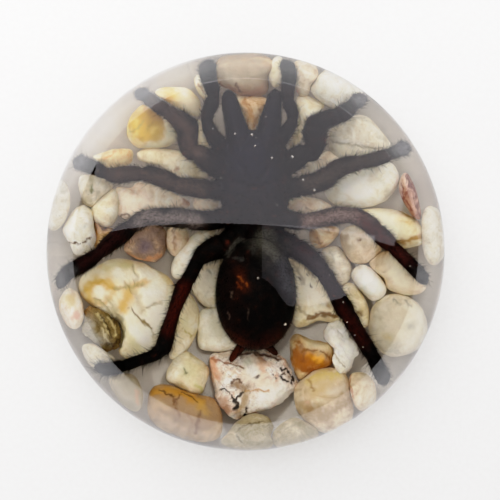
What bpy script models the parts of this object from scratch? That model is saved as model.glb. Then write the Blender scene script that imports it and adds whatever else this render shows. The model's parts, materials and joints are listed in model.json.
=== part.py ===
"""A large dark spider cast in a clear resin dome, over a bed of river pebbles.

Metres, +Z up, +Y towards the spider's head. The origin is the middle of the dome's flat foot.
The clear resin is parted in two at a level plane, so that every sealed piece lies in an open pocket.
"""

import math
from typing import NamedTuple

import bmesh
import bpy
from mathutils import Vector, noise

MM = 0.001

# The resin: a straight wall with a half-ellipse crown on it. It is parted level with the top of the wall,
# so the stones lie in nests in the base and the spider in a hollow under the dome.
DOME_RADIUS = 44.0 * MM
WALL_HEIGHT = 10.0 * MM
CROWN_HEIGHT = 27.0 * MM
FOOT_ROUND = 0.8 * MM
PARTING_HEIGHT = WALL_HEIGHT
PARTING_GAP = 0.3 * MM
DOME_SEGMENTS = 36
CROWN_RINGS = 8
WELD = 0.01 * MM
SHARP_ANGLE = math.radians(40)

# The bed of pebbles and the room that each sealed piece has in its pocket.
BED_RADIUS = 40.5 * MM
BED_LEVEL = 7.0 * MM
STONE_GAP = 2.4  # photograph pixels between neighbouring stones, about 0.45 mm
LARGE_STONE = 50  # photograph pixels: a longer stone gets one more ring of faces
STONE_LUMPS = 0.12  # share of the radius that a lump adds or takes
LUMPS_PER_STONE = 1.4  # how often the lumps change from one side of a stone to the other
LUMP_SHIFT = 7.3  # how far apart in the noise two stones are, so that no two have the same lumps
STONE_FULLNESS = 0.7  # below 1 the side stands up steeply, so that the seen outline is full
STONE_FLATNESS = 0.9  # below 1 the top and bottom are a little flattened
FACET_SPREAD = 1.04  # the corners stand out this much, so that the flats lie on the seen outline
OUTLINE_STEPS = 40
POCKET_GAP = 0.4 * MM
POCKET_FLOOR = 1.4 * MM
POCKET_FACET_SPREAD = 1.25

# The spider's limbs are tubes that arch at the knee and are drawn in at each joint.
LEG_SIDES_RESOLUTION = 1  # a bevel resolution of 1 gives a tube 6 sides
ROUND_SIDES_SHARE = math.cos(math.pi / 6)  # how far a 6-sided tube's flats lie inside its corners
KNEE_ARCH_END = 0.75  # share of a limb's length at which the arch of the knee has come down
LEG_DESCENT = 1.2  # a limb is down at its resting level after 1 / 1.2 of its length
JOINT_WAIST = 0.88
SWELLING_WAIST = 0.42  # the share of a body part's height at which it is widest
SWELLING_FULLNESS = 0.9
CARAPACE_FACES = (14, 8)  # meridians, rings
ABDOMEN_FACES = (14, 9)

# The spider's hollow is a coarser copy of its form.
SPIDER_POCKET_GAP = 0.8 * MM
SWELLING_POCKET_SPREAD = 1.4
SWELLING_POCKET_FACES = (12, 6)
LIMB_POCKET_STEPS = 8
STUB_POCKET_STEPS = 3

# Everything sealed in the resin was measured where it is seen, looking straight down through the crown.
# Those measures are in pixels of the 500 x 500 photograph, and sight lines through the crown turn them
# into real places.
SEEN_MIDDLE = (245.5, 251.5)
SEEN_RADIUS = 198.0
EYE_HEIGHT = 250.0 * MM
RESIN_INDEX = 1.55
SEEN_LIMIT = 0.965  # share of the radius past which the crown is too steep to see through

BODY_REST = 10.6 * MM  # the level that the legs' undersides come down to
FLAT_ANGLE = math.radians(0.5)  # faces within this of each other are one face

OBJECT_NAME = "spider_in_resin_dome"


class Stone(NamedTuple):
    """A pebble as it is seen from above: place and size in photograph pixels, heights in millimetres."""

    name: str
    seen_at: tuple
    long: float
    wide: float
    turn: float = 0.0
    tall: float = 7.0
    top: float = 9.5
    square: float = 2.3
    taper: float = 0.0
    corners: int = 8


class Limb(NamedTuple):
    """A leg or palp as it is seen from above: each point is x, y and width in photograph pixels."""

    name: str
    seen: tuple
    root_height: float = 13.4
    knee_rise: float = 2.2
    joints: tuple = (0.12, 0.38, 0.50, 0.70, 0.86)


STONES = (
    Stone("yellow_stone_1", (152, 127), 50, 43, 10, 7.5, 9.5, 2.6, corners=10),
    Stone("yellow_stone_2", (183, 104), 54, 36, -22, 7.0, 9.4, 2.4),
    Stone("amber_stone_1", (113, 158), 42, 18, 12, 5.5, 9.0, 2.4, -0.2),
    Stone("cream_stone_1", (186, 168), 46, 26, -30, 6.0, 9.0, 2.3),
    Stone("grey_stone_1", (95, 188), 36, 29, 80, 6.5, 8.8, 2.2),
    Stone("cream_stone_2", (109, 211), 46, 35, 62, 7.0, 9.4, 2.3),
    Stone("pink_stone_1", (156, 198), 80, 36, 4, 7.0, 9.2, 2.5, -0.35, corners=10),
    Stone("white_stone_1", (79, 226), 44, 27, 82, 6.5, 9.5, 2.1, -0.15),
    Stone("grey_stone_2", (60, 206), 52, 22, 82, 6.0, 8.4, 2.2),
    Stone("brown_stone_1", (107, 238), 24, 17, 40, 5.5, 8.4, 2.2),
    Stone("mottled_stone_1", (147, 244), 44, 38, -5, 7.0, 9.0, 2.3),
    Stone("pink_stone_2", (178, 240), 26, 30, 0, 6.0, 8.6, 2.3),
    Stone("white_stone_2", (192, 254), 58, 22, 54, 7.0, 9.2, 2.3),
    Stone("yellow_stone_3", (129, 304), 100, 84, -38, 8.0, 9.7, 2.6, corners=12),
    Stone("cream_stone_3", (187, 325), 66, 28, 76, 7.0, 9.4, 2.3),
    Stone("brown_stone_2", (101, 331), 50, 29, -50, 6.5, 9.4, 2.6),
    Stone("pink_stone_3", (71, 307), 42, 24, -72, 6.0, 8.8, 2.2),
    Stone("grey_stone_3", (93, 357), 34, 18, -32, 5.5, 8.2, 2.2),
    Stone("beige_stone_1", (125, 388), 42, 34, -45, 6.0, 8.6, 2.3),
    Stone("cream_stone_4", (189, 372), 40, 36, 20, 6.5, 9.4, 3.0),
    Stone("brown_stone_3", (185, 412), 75, 54, -14, 7.5, 9.5, 2.4, corners=10),
    Stone("rough_rock", (252, 384), 90, 64, 8, 8.0, 9.7, 3.0, corners=12),
    Stone("milky_stone_1", (216, 328), 44, 36, 80, 6.5, 9.0, 2.6),
    Stone("grey_stone_4", (204, 284), 52, 36, -72, 6.5, 9.0, 2.3),
    Stone("banded_stone_1", (254, 432), 50, 28, 3, 6.0, 8.8, 2.2),
    Stone("banded_stone_2", (299, 431), 42, 26, 12, 6.0, 8.6, 2.2),
    Stone("beige_stone_2", (322, 401), 62, 62, -10, 8.0, 9.5, 2.2, corners=10),
    Stone("beige_stone_3", (363, 391), 38, 30, 95, 6.5, 8.8, 2.2),
    Stone("orange_stone_1", (310, 356), 58, 46, -68, 7.5, 9.4, 2.4),
    Stone("white_stone_3", (341, 344), 54, 25, -58, 6.5, 9.5, 2.4),
    Stone("cream_stone_5", (312, 288), 70, 44, 82, 7.5, 9.5, 2.5, corners=10),
    Stone("grey_stone_5", (338, 262), 48, 30, 70, 6.5, 9.0, 2.3),
    Stone("white_stone_4", (368, 282), 41, 26, -38, 5.5, 9.7, 2.3),
    Stone("cream_stone_6", (354, 304), 42, 24, -55, 6.0, 9.2, 2.5),
    Stone("grey_stone_6", (399, 330), 72, 58, 80, 7.5, 9.4, 2.2, corners=10),
    Stone("beige_stone_4", (403, 274), 60, 44, -20, 7.0, 9.2, 2.2),
    Stone("beige_stone_5", (358, 242), 56, 42, 0, 7.0, 9.4, 2.2),
    Stone("yellow_stone_4", (393, 228), 62, 40, -17, 7.0, 9.4, 2.3),
    Stone("milky_stone_2", (360, 184), 76, 46, 8, 7.5, 9.5, 2.3, corners=10),
    Stone("red_stone_1", (408, 193), 48, 18, -68, 5.5, 9.2, 2.3),
    Stone("grey_stone_7", (429, 236), 62, 20, -86, 6.0, 8.4, 2.2),
    Stone("grey_stone_8", (354, 130), 58, 38, 0, 7.0, 9.2, 2.3),
    Stone("milky_stone_3", (338, 91), 54, 34, -32, 7.0, 9.2, 2.3),
    Stone("cream_stone_7", (304, 120), 62, 28, 68, 6.5, 9.2, 2.3),
    Stone("brown_stone_4", (243, 83), 54, 46, 0, 7.5, 9.4, 2.4),
    Stone("orange_stone_2", (254, 121), 34, 28, 80, 6.5, 9.2, 2.3),
    Stone("cream_stone_8", (276, 74), 30, 18, 80, 6.0, 8.8, 2.2),
    Stone("beige_stone_6", (306, 77), 34, 26, 60, 6.0, 8.8, 2.3),
    Stone("orange_stone_3", (318, 240), 38, 30, 0, 6.5, 9.0, 2.3),
    Stone("pink_stone_4", (303, 204), 30, 20, 0, 6.0, 8.8, 2.3),
    Stone("pink_stone_5", (205, 203), 30, 18, 0, 6.0, 8.8, 2.3),
    Stone("cream_stone_9", (206, 141), 36, 20, -52, 6.0, 9.0, 2.3),
    Stone("pink_stone_6", (317, 167), 34, 20, 30, 5.5, 8.8, 2.3),
    Stone("cream_stone_10", (203, 90), 30, 18, -72, 6.0, 8.8, 2.2),
    Stone("grey_stone_9", (250, 178), 50, 44, 20, 7.5, 9.5, 2.3),
    Stone("grey_stone_10", (256, 268), 58, 56, 0, 7.5, 9.5, 2.3, corners=10),
)

LIMBS = (
    Limb(
        "left_palp",
        (
            (240, 150, 14), (222, 146, 15), (209, 132, 15), (208, 118, 14),
            (212, 104, 14), (213, 90, 15), (208, 72, 15), (206, 58, 12),
        ),
        joints=(0.22, 0.45, 0.60, 0.78),
    ),
    Limb(
        "right_palp",
        (
            (268, 150, 14), (281, 144, 14), (291, 131, 14), (293, 115, 13),
            (290, 98, 13), (289, 80, 14), (287, 66, 14), (286, 57, 11),
        ),
        joints=(0.22, 0.45, 0.60, 0.78),
    ),
    Limb(
        "left_leg_1",
        (
            (238, 177, 18), (218, 169, 20), (203, 163, 20), (190, 150, 21), (187, 131, 19),
            (177, 116, 16), (160, 106, 16), (146, 97, 13), (134, 90, 10),
        ),
    ),
    Limb(
        "right_leg_1",
        (
            (270, 173, 18), (286, 164, 20), (300, 158, 22), (314, 147, 23), (316, 132, 22),
            (331, 119, 18), (349, 110, 17), (361, 101, 13), (371, 94, 11),
        ),
    ),
    Limb(
        "left_leg_2",
        (
            (238, 190, 18), (218, 189, 19), (200, 187, 18), (183, 185, 18), (167, 179, 17),
            (148, 174, 17), (129, 174, 16), (112, 173, 15), (96, 168, 14), (79, 161, 12),
        ),
    ),
    Limb(
        "right_leg_2",
        (
            (270, 190, 18), (289, 190, 20), (305, 186, 21), (319, 179, 22), (331, 169, 19),
            (346, 165, 16), (363, 163, 15), (380, 159, 14), (396, 152, 13), (409, 146, 12),
        ),
    ),
    Limb(
        "left_leg_3",
        (
            (240, 208, 18), (221, 217, 19), (202, 217, 19), (179, 217, 18), (157, 216, 16),
            (141, 222, 16), (126, 234, 15), (110, 246, 15), (93, 257, 14), (78, 267, 13),
            (66, 276, 13), (60, 287, 10),
        ),
    ),
    Limb(
        "right_leg_3",
        (
            (268, 208, 18), (289, 219, 18), (309, 221, 16), (330, 216, 15), (350, 215, 14),
            (364, 221, 14), (378, 233, 13), (391, 244, 12), (403, 256, 11), (415, 269, 10),
            (425, 280, 9),
        ),
    ),
    Limb(
        "left_leg_4",
        (
            (246, 222, 20), (228, 240, 22), (211, 250, 20), (197, 260, 18), (187, 276, 16),
            (180, 292, 16), (173, 311, 14), (167, 328, 14), (162, 346, 15), (151, 355, 14),
            (134, 361, 12), (116, 365, 12), (96, 368, 9),
        ),
    ),
    Limb(
        "right_leg_4",
        (
            (264, 222, 20), (281, 238, 22), (297, 249, 21), (313, 261, 17), (326, 278, 15),
            (338, 296, 15), (348, 314, 14), (358, 333, 12), (367, 350, 12), (376, 364, 12),
            (385, 380, 10),
        ),
    ),
    Limb(
        "left_fang_base",
        ((242, 160, 30), (239, 145, 30), (236, 132, 27), (232, 114, 20), (229, 100, 14), (228, 90, 9)),
        root_height=14.6,
        knee_rise=0.4,
        joints=(),
    ),
    Limb(
        "right_fang_base",
        ((262, 160, 30), (264, 144, 30), (267, 130, 27), (271, 112, 20), (275, 98, 14), (277, 88, 9)),
        root_height=14.6,
        knee_rise=0.4,
        joints=(),
    ),
    Limb(
        "waist",
        ((256, 212, 26), (256, 230, 20), (256, 250, 26)),
        root_height=14.6,
        knee_rise=0.0,
        joints=(),
    ),
    Limb(
        "left_spinneret",
        ((246, 332, 10), (240, 346, 9), (233, 357, 7), (229, 363, 4)),
        root_height=13.0,
        knee_rise=0.0,
        joints=(),
    ),
    Limb(
        "right_spinneret",
        ((262, 334, 10), (268, 347, 8), (274, 353, 6), (278, 356, 4)),
        root_height=13.0,
        knee_rise=0.0,
        joints=(),
    ),
)


class Swelling(NamedTuple):
    """A rounded body part seen from above: photograph pixels, with its heights in millimetres."""

    name: str
    seen_at: tuple
    wide: float
    long: float
    bottom: float
    top: float
    square: float


CARAPACE = Swelling("carapace", (255, 179), 72, 98, 11.0, 17.8, 2.6)
ABDOMEN = Swelling("abdomen", (256, 294), 80, 112, 10.6, 21.0, 2.1)


# ---------------------------------------------------------------- sight lines


def crown_height(radius):
    """The height of the resin's surface at this distance from the dome's axis."""
    share = min(1.0, radius / DOME_RADIUS)
    return WALL_HEIGHT + CROWN_HEIGHT * math.sqrt(1.0 - share * share)


def bent_radius(seen_radius, height):
    """How far from the axis a point at this height is, when it is seen at seen_radius on the wall's top."""
    ray = Vector((seen_radius, WALL_HEIGHT - EYE_HEIGHT)).normalized()
    wide, tall = ray.x / DOME_RADIUS, ray.y / CROWN_HEIGHT
    rise = (EYE_HEIGHT - WALL_HEIGHT) / CROWN_HEIGHT
    square, linear, constant = wide * wide + tall * tall, rise * tall, rise * rise - 1.0
    reach = (-linear - math.sqrt(linear * linear - square * constant)) / square
    hit = Vector((0.0, EYE_HEIGHT)) + reach * ray
    normal = Vector((hit.x / DOME_RADIUS**2, (hit.y - WALL_HEIGHT) / CROWN_HEIGHT**2)).normalized()
    facing = -normal.dot(ray)
    bend = 1.0 / RESIN_INDEX
    inside = bend * ray + (bend * facing - math.sqrt(1.0 - bend**2 * (1.0 - facing**2))) * normal
    return hit.x + inside.x * (height - hit.y) / inside.y


def behind_dome(seen_x, seen_y, height):
    """The real point at this height that the crown shows at a pixel of the photograph."""
    offset = Vector((seen_x - SEEN_MIDDLE[0], SEEN_MIDDLE[1] - seen_y)) * (DOME_RADIUS / SEEN_RADIUS)
    seen = offset.length
    if seen < 1e-6:
        return Vector((0.0, 0.0, height))
    limit = SEEN_LIMIT * DOME_RADIUS
    real = bent_radius(min(seen, limit), height) + max(0.0, seen - limit)
    offset *= min(real, BED_RADIUS) / seen
    return Vector((offset.x, offset.y, height))


def shrink_at(seen_x, seen_y, height):
    """Real metres for one pixel of the photograph at this place."""
    here = behind_dome(seen_x, seen_y, height)
    beside = behind_dome(seen_x + 1.0, seen_y, height)
    above = behind_dome(seen_x, seen_y + 1.0, height)
    return 0.5 * ((beside - here).length + (above - here).length)


# ---------------------------------------------------------------- helpers


def clear_scene():
    for obj in list(bpy.data.objects):
        bpy.data.objects.remove(obj, do_unlink=True)


def new_collection(name):
    collection = bpy.data.collections.new(name)
    bpy.context.scene.collection.children.link(collection)
    return collection


def principled(name, colour, roughness, transmission=0.0):
    material = bpy.data.materials.new(name)
    material.use_nodes = True
    shader = material.node_tree.nodes["Principled BSDF"]
    shader.inputs["Base Color"].default_value = (*colour, 1.0)
    shader.inputs["Roughness"].default_value = roughness
    shader.inputs["Metallic"].default_value = 0.0
    shader.inputs["IOR"].default_value = RESIN_INDEX
    shader.inputs["Transmission Weight"].default_value = transmission
    return material


def shade_round(mesh):
    mesh.shade_smooth()
    mesh.set_sharp_from_angle(angle=SHARP_ANGLE)


def object_from(bm, name, collection, material=None):
    """An object of this mesh, with its faces turned outwards."""
    bmesh.ops.recalc_face_normals(bm, faces=bm.faces)
    if bm.calc_volume(signed=True) < 0:
        bmesh.ops.reverse_faces(bm, faces=bm.faces)
    mesh = bpy.data.meshes.new(name)
    bm.to_mesh(mesh)
    bm.free()
    shade_round(mesh)
    obj = bpy.data.objects.new(name, mesh)
    collection.objects.link(obj)
    if material:
        mesh.materials.append(material)
    return obj


def hide_helper(obj):
    obj.hide_render = True
    obj.display_type = "WIRE"


def superellipse(angle, power):
    """The radius of a rounded rectangle of half sides 1 at this angle: power 2 is round, 4 is square."""
    return (abs(math.cos(angle)) ** power + abs(math.sin(angle)) ** power) ** (-1.0 / power)


def combine(obj, operation, collection):
    modifier = obj.modifiers.new(operation.lower(), "BOOLEAN")
    modifier.operation = operation
    modifier.operand_type = "COLLECTION"
    modifier.collection = collection
    modifier.solver = "EXACT"


def bake(obj):
    """Replace the object's mesh by what its modifiers make of it, and keep only the largest body."""
    graph = bpy.context.evaluated_depsgraph_get()
    mesh = bpy.data.meshes.new_from_object(obj.evaluated_get(graph))
    obj.modifiers.clear()
    old, obj.data = obj.data, mesh
    mesh.name = obj.name
    bpy.data.meshes.remove(old)
    bm = bmesh.new()
    bm.from_mesh(mesh)
    bodies = sorted(linked_bodies(bm), key=len)
    loose = [vert for body in bodies[:-1] for vert in body]
    bmesh.ops.delete(bm, geom=loose, context="VERTS")
    bmesh.ops.dissolve_limit(bm, angle_limit=FLAT_ANGLE, verts=bm.verts, edges=bm.edges)
    bm.to_mesh(mesh)
    bm.free()
    shade_round(mesh)


def linked_bodies(bm):
    """The mesh's vertices, one set for each body that hangs together."""
    left = set(bm.verts)
    bodies = []
    while left:
        waiting = [left.pop()]
        body = set(waiting)
        while waiting:
            vert = waiting.pop()
            for edge in vert.link_edges:
                other = edge.other_vert(vert)
                if other in left:
                    left.discard(other)
                    body.add(other)
                    waiting.append(other)
        bodies.append(body)
    return bodies


# ---------------------------------------------------------------- the stones


def oval_depth(stone, seen_x, seen_y):
    """How far outside a stone's oval this pixel is, in pixels; negative inside."""
    turn = math.radians(stone.turn)
    across, up = seen_x - stone.seen_at[0], stone.seen_at[1] - seen_y
    along = across * math.cos(turn) + up * math.sin(turn)
    aside = up * math.cos(turn) - across * math.sin(turn)
    aside /= 1.0 + stone.taper * along / (stone.long / 2)
    a, b = abs(along) / (stone.long / 2), abs(aside) / (stone.wide / 2)
    share = (a**stone.square + b**stone.square) ** (1.0 / stone.square)
    return (share - 1.0) * (stone.long + stone.wide) / 4


def seen_edge(stone, angle, share):
    """The pixel at this share of the way from a stone's middle to its oval."""
    radius = superellipse(angle, stone.square) * share
    along = radius * math.cos(angle)
    aside = radius * math.sin(angle) * (1.0 + stone.taper * along) * stone.wide / 2
    along *= stone.long / 2
    turn = math.radians(stone.turn)
    return (
        stone.seen_at[0] + along * math.cos(turn) - aside * math.sin(turn),
        stone.seen_at[1] - along * math.sin(turn) - aside * math.cos(turn),
    )


def clear_share(stone, angle, neighbours):
    """How much of the oval's radius is left at this angle once the stone gives way to its neighbours."""
    for step in range(OUTLINE_STEPS, 0, -1):
        share = step / OUTLINE_STEPS
        pixel = seen_edge(stone, angle, share)
        own = oval_depth(stone, *pixel)
        if all(oval_depth(other, *pixel) - own >= STONE_GAP for other in neighbours):
            return share
    return 1.0 / OUTLINE_STEPS


def near(stone):
    """The stones whose ovals could touch this one."""
    found = []
    for other in STONES:
        apart = math.dist(stone.seen_at, other.seen_at)
        if other is not stone and apart < (stone.long + other.long) / 2 + STONE_GAP:
            found.append(other)
    return found


def angle_from_end(vert):
    """The vertex's angle about Z, turned so that the first meridian lies on a stone's long axis."""
    return math.atan2(vert.co.x, -vert.co.y)


def make_stone(stone, index, collection, material):
    """A pebble: a sphere drawn out to the stone's seen outline, with a few soft lumps."""
    neighbours = near(stone)
    rings = 5 if stone.long > LARGE_STONE else 4
    middle_height = stone.top - stone.tall / 2
    middle = behind_dome(*stone.seen_at, middle_height * MM)
    bm = bmesh.new()
    bmesh.ops.create_uvsphere(bm, u_segments=stone.corners, v_segments=rings, radius=1.0)
    for vert in bm.verts:
        flat = math.hypot(vert.co.x, vert.co.y)
        angle = angle_from_end(vert)
        shift = Vector((index * LUMP_SHIFT, 0.0, 0.0))
        lump = 1.0 + STONE_LUMPS * noise.noise(vert.co * LUMPS_PER_STONE + shift)
        out = min(1.0, flat**STONE_FULLNESS * lump) * FACET_SPREAD
        share = clear_share(stone, angle, neighbours)
        pixel = seen_edge(stone, angle, share * out)
        rise = math.copysign(abs(vert.co.z) ** STONE_FLATNESS, vert.co.z) * stone.tall / 2
        place = behind_dome(*pixel, BED_LEVEL)
        place.z = (middle_height + rise) * MM
        vert.co = place - middle
    object_from(bm, stone.name, collection, material).location = middle


def make_stone_pocket(stone, collection):
    """The upright nest that a stone lies in, a little wider than the stone and open at the top."""
    neighbours = near(stone)
    spread = POCKET_GAP * SEEN_RADIUS / DOME_RADIUS * POCKET_FACET_SPREAD
    bm = bmesh.new()
    bmesh.ops.create_cone(
        bm, cap_ends=True, segments=stone.corners, radius1=1.0, radius2=1.0, depth=2.0
    )
    for vert in bm.verts:
        angle = angle_from_end(vert)
        share = clear_share(stone, angle, neighbours) + spread / (stone.wide / 2)
        place = behind_dome(*seen_edge(stone, angle, share), BED_LEVEL)
        place.z = WALL_HEIGHT + PARTING_GAP if vert.co.z > 0 else POCKET_FLOOR
        vert.co = place
    hide_helper(object_from(bm, stone.name + "_pocket", collection))


# ---------------------------------------------------------------- the spider


def along_route(points, share):
    """The point at this share of a route's length, on a smooth curve through its hand-placed points."""
    lengths = [0.0]
    for first, second in zip(points, points[1:]):
        lengths.append(lengths[-1] + math.dist(first[:2], second[:2]))
    wanted = share * lengths[-1]
    span = max(index for index in range(len(points) - 1) if lengths[index] <= wanted)
    local = (wanted - lengths[span]) / (lengths[span + 1] - lengths[span])
    before = Vector(points[max(0, span - 1)])
    start, end = Vector(points[span]), Vector(points[span + 1])
    after = Vector(points[min(len(points) - 1, span + 2)])
    return 0.5 * (
        2 * start
        + (end - before) * local
        + (2 * before - 5 * start + 4 * end - after) * local**2
        + (3 * start - before - 3 * end + after) * local**3
    )


def limb_shares(limb):
    """Where a limb gets a ring: at its ends, at each joint and midway between joints."""
    stops = [0.0, *limb.joints, 1.0] if limb.joints else [0.0, 0.25, 0.5, 0.75, 1.0]
    middles = [(a + b) / 2 for a, b in zip(stops, stops[1:])] if limb.joints else []
    return sorted(stops + middles)


def make_limb(limb, shares, spread, collection):
    """A limb as a closed tube whose width follows the route, drawn in a little at each joint."""
    curve = bpy.data.curves.new(limb.name, "CURVE")
    curve.dimensions = "3D"
    curve.bevel_depth = 1.0
    curve.bevel_resolution = LEG_SIDES_RESOLUTION
    curve.use_fill_caps = True
    spline = curve.splines.new("POLY")
    spline.points.add(len(shares) - 1)
    for point, share in zip(spline.points, shares):
        seen_x, seen_y, seen_width = along_route(limb.seen, share)
        root = limb.root_height * MM
        shrink = shrink_at(seen_x, seen_y, root)
        radius = seen_width / 2 * shrink
        rest = BODY_REST + radius
        arch = limb.knee_rise * MM * math.sin(math.pi * min(1.0, share / KNEE_ARCH_END))
        height = root + (rest - root) * min(1.0, share * LEG_DESCENT) + arch
        if spread == 0.0 and any(abs(share - joint) < 1e-6 for joint in limb.joints):
            radius *= JOINT_WAIST
        place = behind_dome(seen_x, seen_y, height)
        point.co = (*place, 1.0)
        point.radius = (radius + spread) / ROUND_SIDES_SHARE**0.5
    tip, before = (spline.points[-1].co.to_3d(), spline.points[-2].co.to_3d())
    spline.points[-1].co = (*(tip + (tip - before).normalized() * spread), 1.0)
    obj = bpy.data.objects.new(limb.name, curve)
    collection.objects.link(obj)
    return curve_to_mesh(obj, collection)


def curve_to_mesh(obj, collection):
    """The mesh of a tube, with its loose caps welded on."""
    graph = bpy.context.evaluated_depsgraph_get()
    mesh = bpy.data.meshes.new_from_object(obj.evaluated_get(graph))
    name = obj.name
    bpy.data.objects.remove(obj, do_unlink=True)
    bm = bmesh.new()
    bm.from_mesh(mesh)
    bpy.data.meshes.remove(mesh)
    bmesh.ops.remove_doubles(bm, verts=bm.verts, dist=WELD)
    return object_from(bm, name, collection)


def make_swelling(part, faces, spread, collection):
    """A body part as a sphere drawn out to its seen outline, flatter below than above."""
    bm = bmesh.new()
    bmesh.ops.create_uvsphere(bm, u_segments=faces[0], v_segments=faces[1], radius=1.0)
    waist = part.bottom + (part.top - part.bottom) * SWELLING_WAIST
    for vert in bm.verts:
        flat = math.hypot(vert.co.x, vert.co.y) ** SWELLING_FULLNESS
        angle = math.atan2(vert.co.y, vert.co.x)
        reach = superellipse(angle, part.square) * flat
        pixel = (
            part.seen_at[0] + reach * math.cos(angle) * part.wide / 2,
            part.seen_at[1] - reach * math.sin(angle) * part.long / 2,
        )
        half = (part.top - waist) if vert.co.z > 0 else (waist - part.bottom)
        place = behind_dome(*pixel, waist * MM)
        place.z = (waist + vert.co.z * half) * MM + math.copysign(spread * abs(vert.co.z), vert.co.z)
        outwards = Vector((math.cos(angle), math.sin(angle), 0.0)) * spread * flat
        vert.co = place + outwards
    return object_from(bm, part.name, collection)


def make_spider(collection, helpers, material):
    """Legs, palps, fang bases, spinnerets and body, fused in one solid."""
    limbs = [make_limb(limb, limb_shares(limb), 0.0, helpers) for limb in LIMBS]
    abdomen = make_swelling(ABDOMEN, ABDOMEN_FACES, 0.0, helpers)
    for helper in (*limbs, abdomen):
        hide_helper(helper)
    spider = make_swelling(CARAPACE, CARAPACE_FACES, 0.0, collection)
    spider.name = "spider"
    combine(spider, "UNION", helpers)
    bake(spider)
    spider.data.materials.clear()
    spider.data.materials.append(material)


def make_spider_pocket(collection):
    """The same form, coarser and a little wider, to be cut from the resin."""
    for limb in LIMBS:
        steps = LIMB_POCKET_STEPS if limb.joints else STUB_POCKET_STEPS
        shares = [step / steps for step in range(steps + 1)]
        hide_helper(make_limb(limb, shares, SPIDER_POCKET_GAP, collection))
    spread = SPIDER_POCKET_GAP * SWELLING_POCKET_SPREAD
    for part in (CARAPACE, ABDOMEN):
        hide_helper(make_swelling(part, SWELLING_POCKET_FACES, spread, collection))


# ---------------------------------------------------------------- the resin


def turned_solid(profile, name, collection, material):
    """A solid of revolution about Z from (radius, height) points, from the axis out, down and back to it."""
    mesh = bpy.data.meshes.new(name)
    links = [(index, index + 1) for index in range(len(profile) - 1)]
    mesh.from_pydata([(radius, 0.0, height) for radius, height in profile], links, [])
    mesh.materials.append(material)
    obj = bpy.data.objects.new(name, mesh)
    collection.objects.link(obj)
    turn = obj.modifiers.new("turn", "SCREW")
    turn.steps = DOME_SEGMENTS
    turn.render_steps = DOME_SEGMENTS
    turn.use_merge_vertices = True
    turn.merge_threshold = WELD
    return obj


def make_resin_base(collection, cutters, material):
    """The lower pour: a round plate as high as the wall, with a softened foot and a nest for each stone."""
    top = PARTING_HEIGHT - PARTING_GAP / 2
    profile = (
        (0.0, top),
        (DOME_RADIUS, top),
        (DOME_RADIUS, FOOT_ROUND),
        (DOME_RADIUS - FOOT_ROUND, 0.0),
        (0.0, 0.0),
    )
    base = turned_solid(profile, "resin_base", collection, material)
    combine(base, "DIFFERENCE", cutters)
    bake(base)


def make_resin_dome(collection, cutters, material):
    """The upper pour: the crown, with the spider's hollow open below."""
    bottom = PARTING_HEIGHT + PARTING_GAP / 2
    profile = [(0.0, crown_height(0.0))]
    for ring in range(1, CROWN_RINGS):
        radius = DOME_RADIUS * math.sin(math.pi / 2 * ring / CROWN_RINGS)
        profile.append((radius, crown_height(radius)))
    profile += [(DOME_RADIUS, bottom), (0.0, bottom)]
    dome = turned_solid(profile, "resin_dome", collection, material)
    combine(dome, "DIFFERENCE", cutters)
    bake(dome)


# ---------------------------------------------------------------- assembly

STONE_COLOURS = {
    "yellow": (0.62, 0.42, 0.10),
    "amber": (0.60, 0.40, 0.20),
    "orange": (0.55, 0.33, 0.12),
    "cream": (0.66, 0.58, 0.44),
    "white": (0.80, 0.77, 0.70),
    "milky": (0.72, 0.70, 0.63),
    "grey": (0.52, 0.50, 0.45),
    "beige": (0.60, 0.52, 0.42),
    "banded": (0.52, 0.47, 0.38),
    "pink": (0.62, 0.48, 0.40),
    "red": (0.40, 0.22, 0.17),
    "mottled": (0.34, 0.26, 0.22),
    "brown": (0.38, 0.28, 0.18),
    "rough": (0.80, 0.72, 0.64),
}


def main():
    clear_scene()
    parts = new_collection(OBJECT_NAME)
    spider_pieces = new_collection("spider_pieces")
    nests = new_collection("stone_nests")
    hollow = new_collection("spider_hollow")

    clear = principled("clear_resin", (0.93, 0.94, 0.92), 0.03, transmission=1.0)
    cuticle = principled("dark_cuticle", (0.016, 0.010, 0.008), 0.45)
    stones = {name: principled(name + "_stone", colour, 0.5) for name, colour in STONE_COLOURS.items()}

    for index, stone in enumerate(STONES):
        kind = stone.name.split("_")[0]
        make_stone(stone, index, parts, stones[kind])
        make_stone_pocket(stone, nests)
    make_spider(parts, spider_pieces, cuticle)
    make_spider_pocket(hollow)
    make_resin_base(parts, nests, clear)
    make_resin_dome(parts, hollow, clear)


main()
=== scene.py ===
import json
import math
from typing import NamedTuple

import bmesh
import bpy
import numpy as np
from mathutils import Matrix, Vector, kdtree


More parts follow.
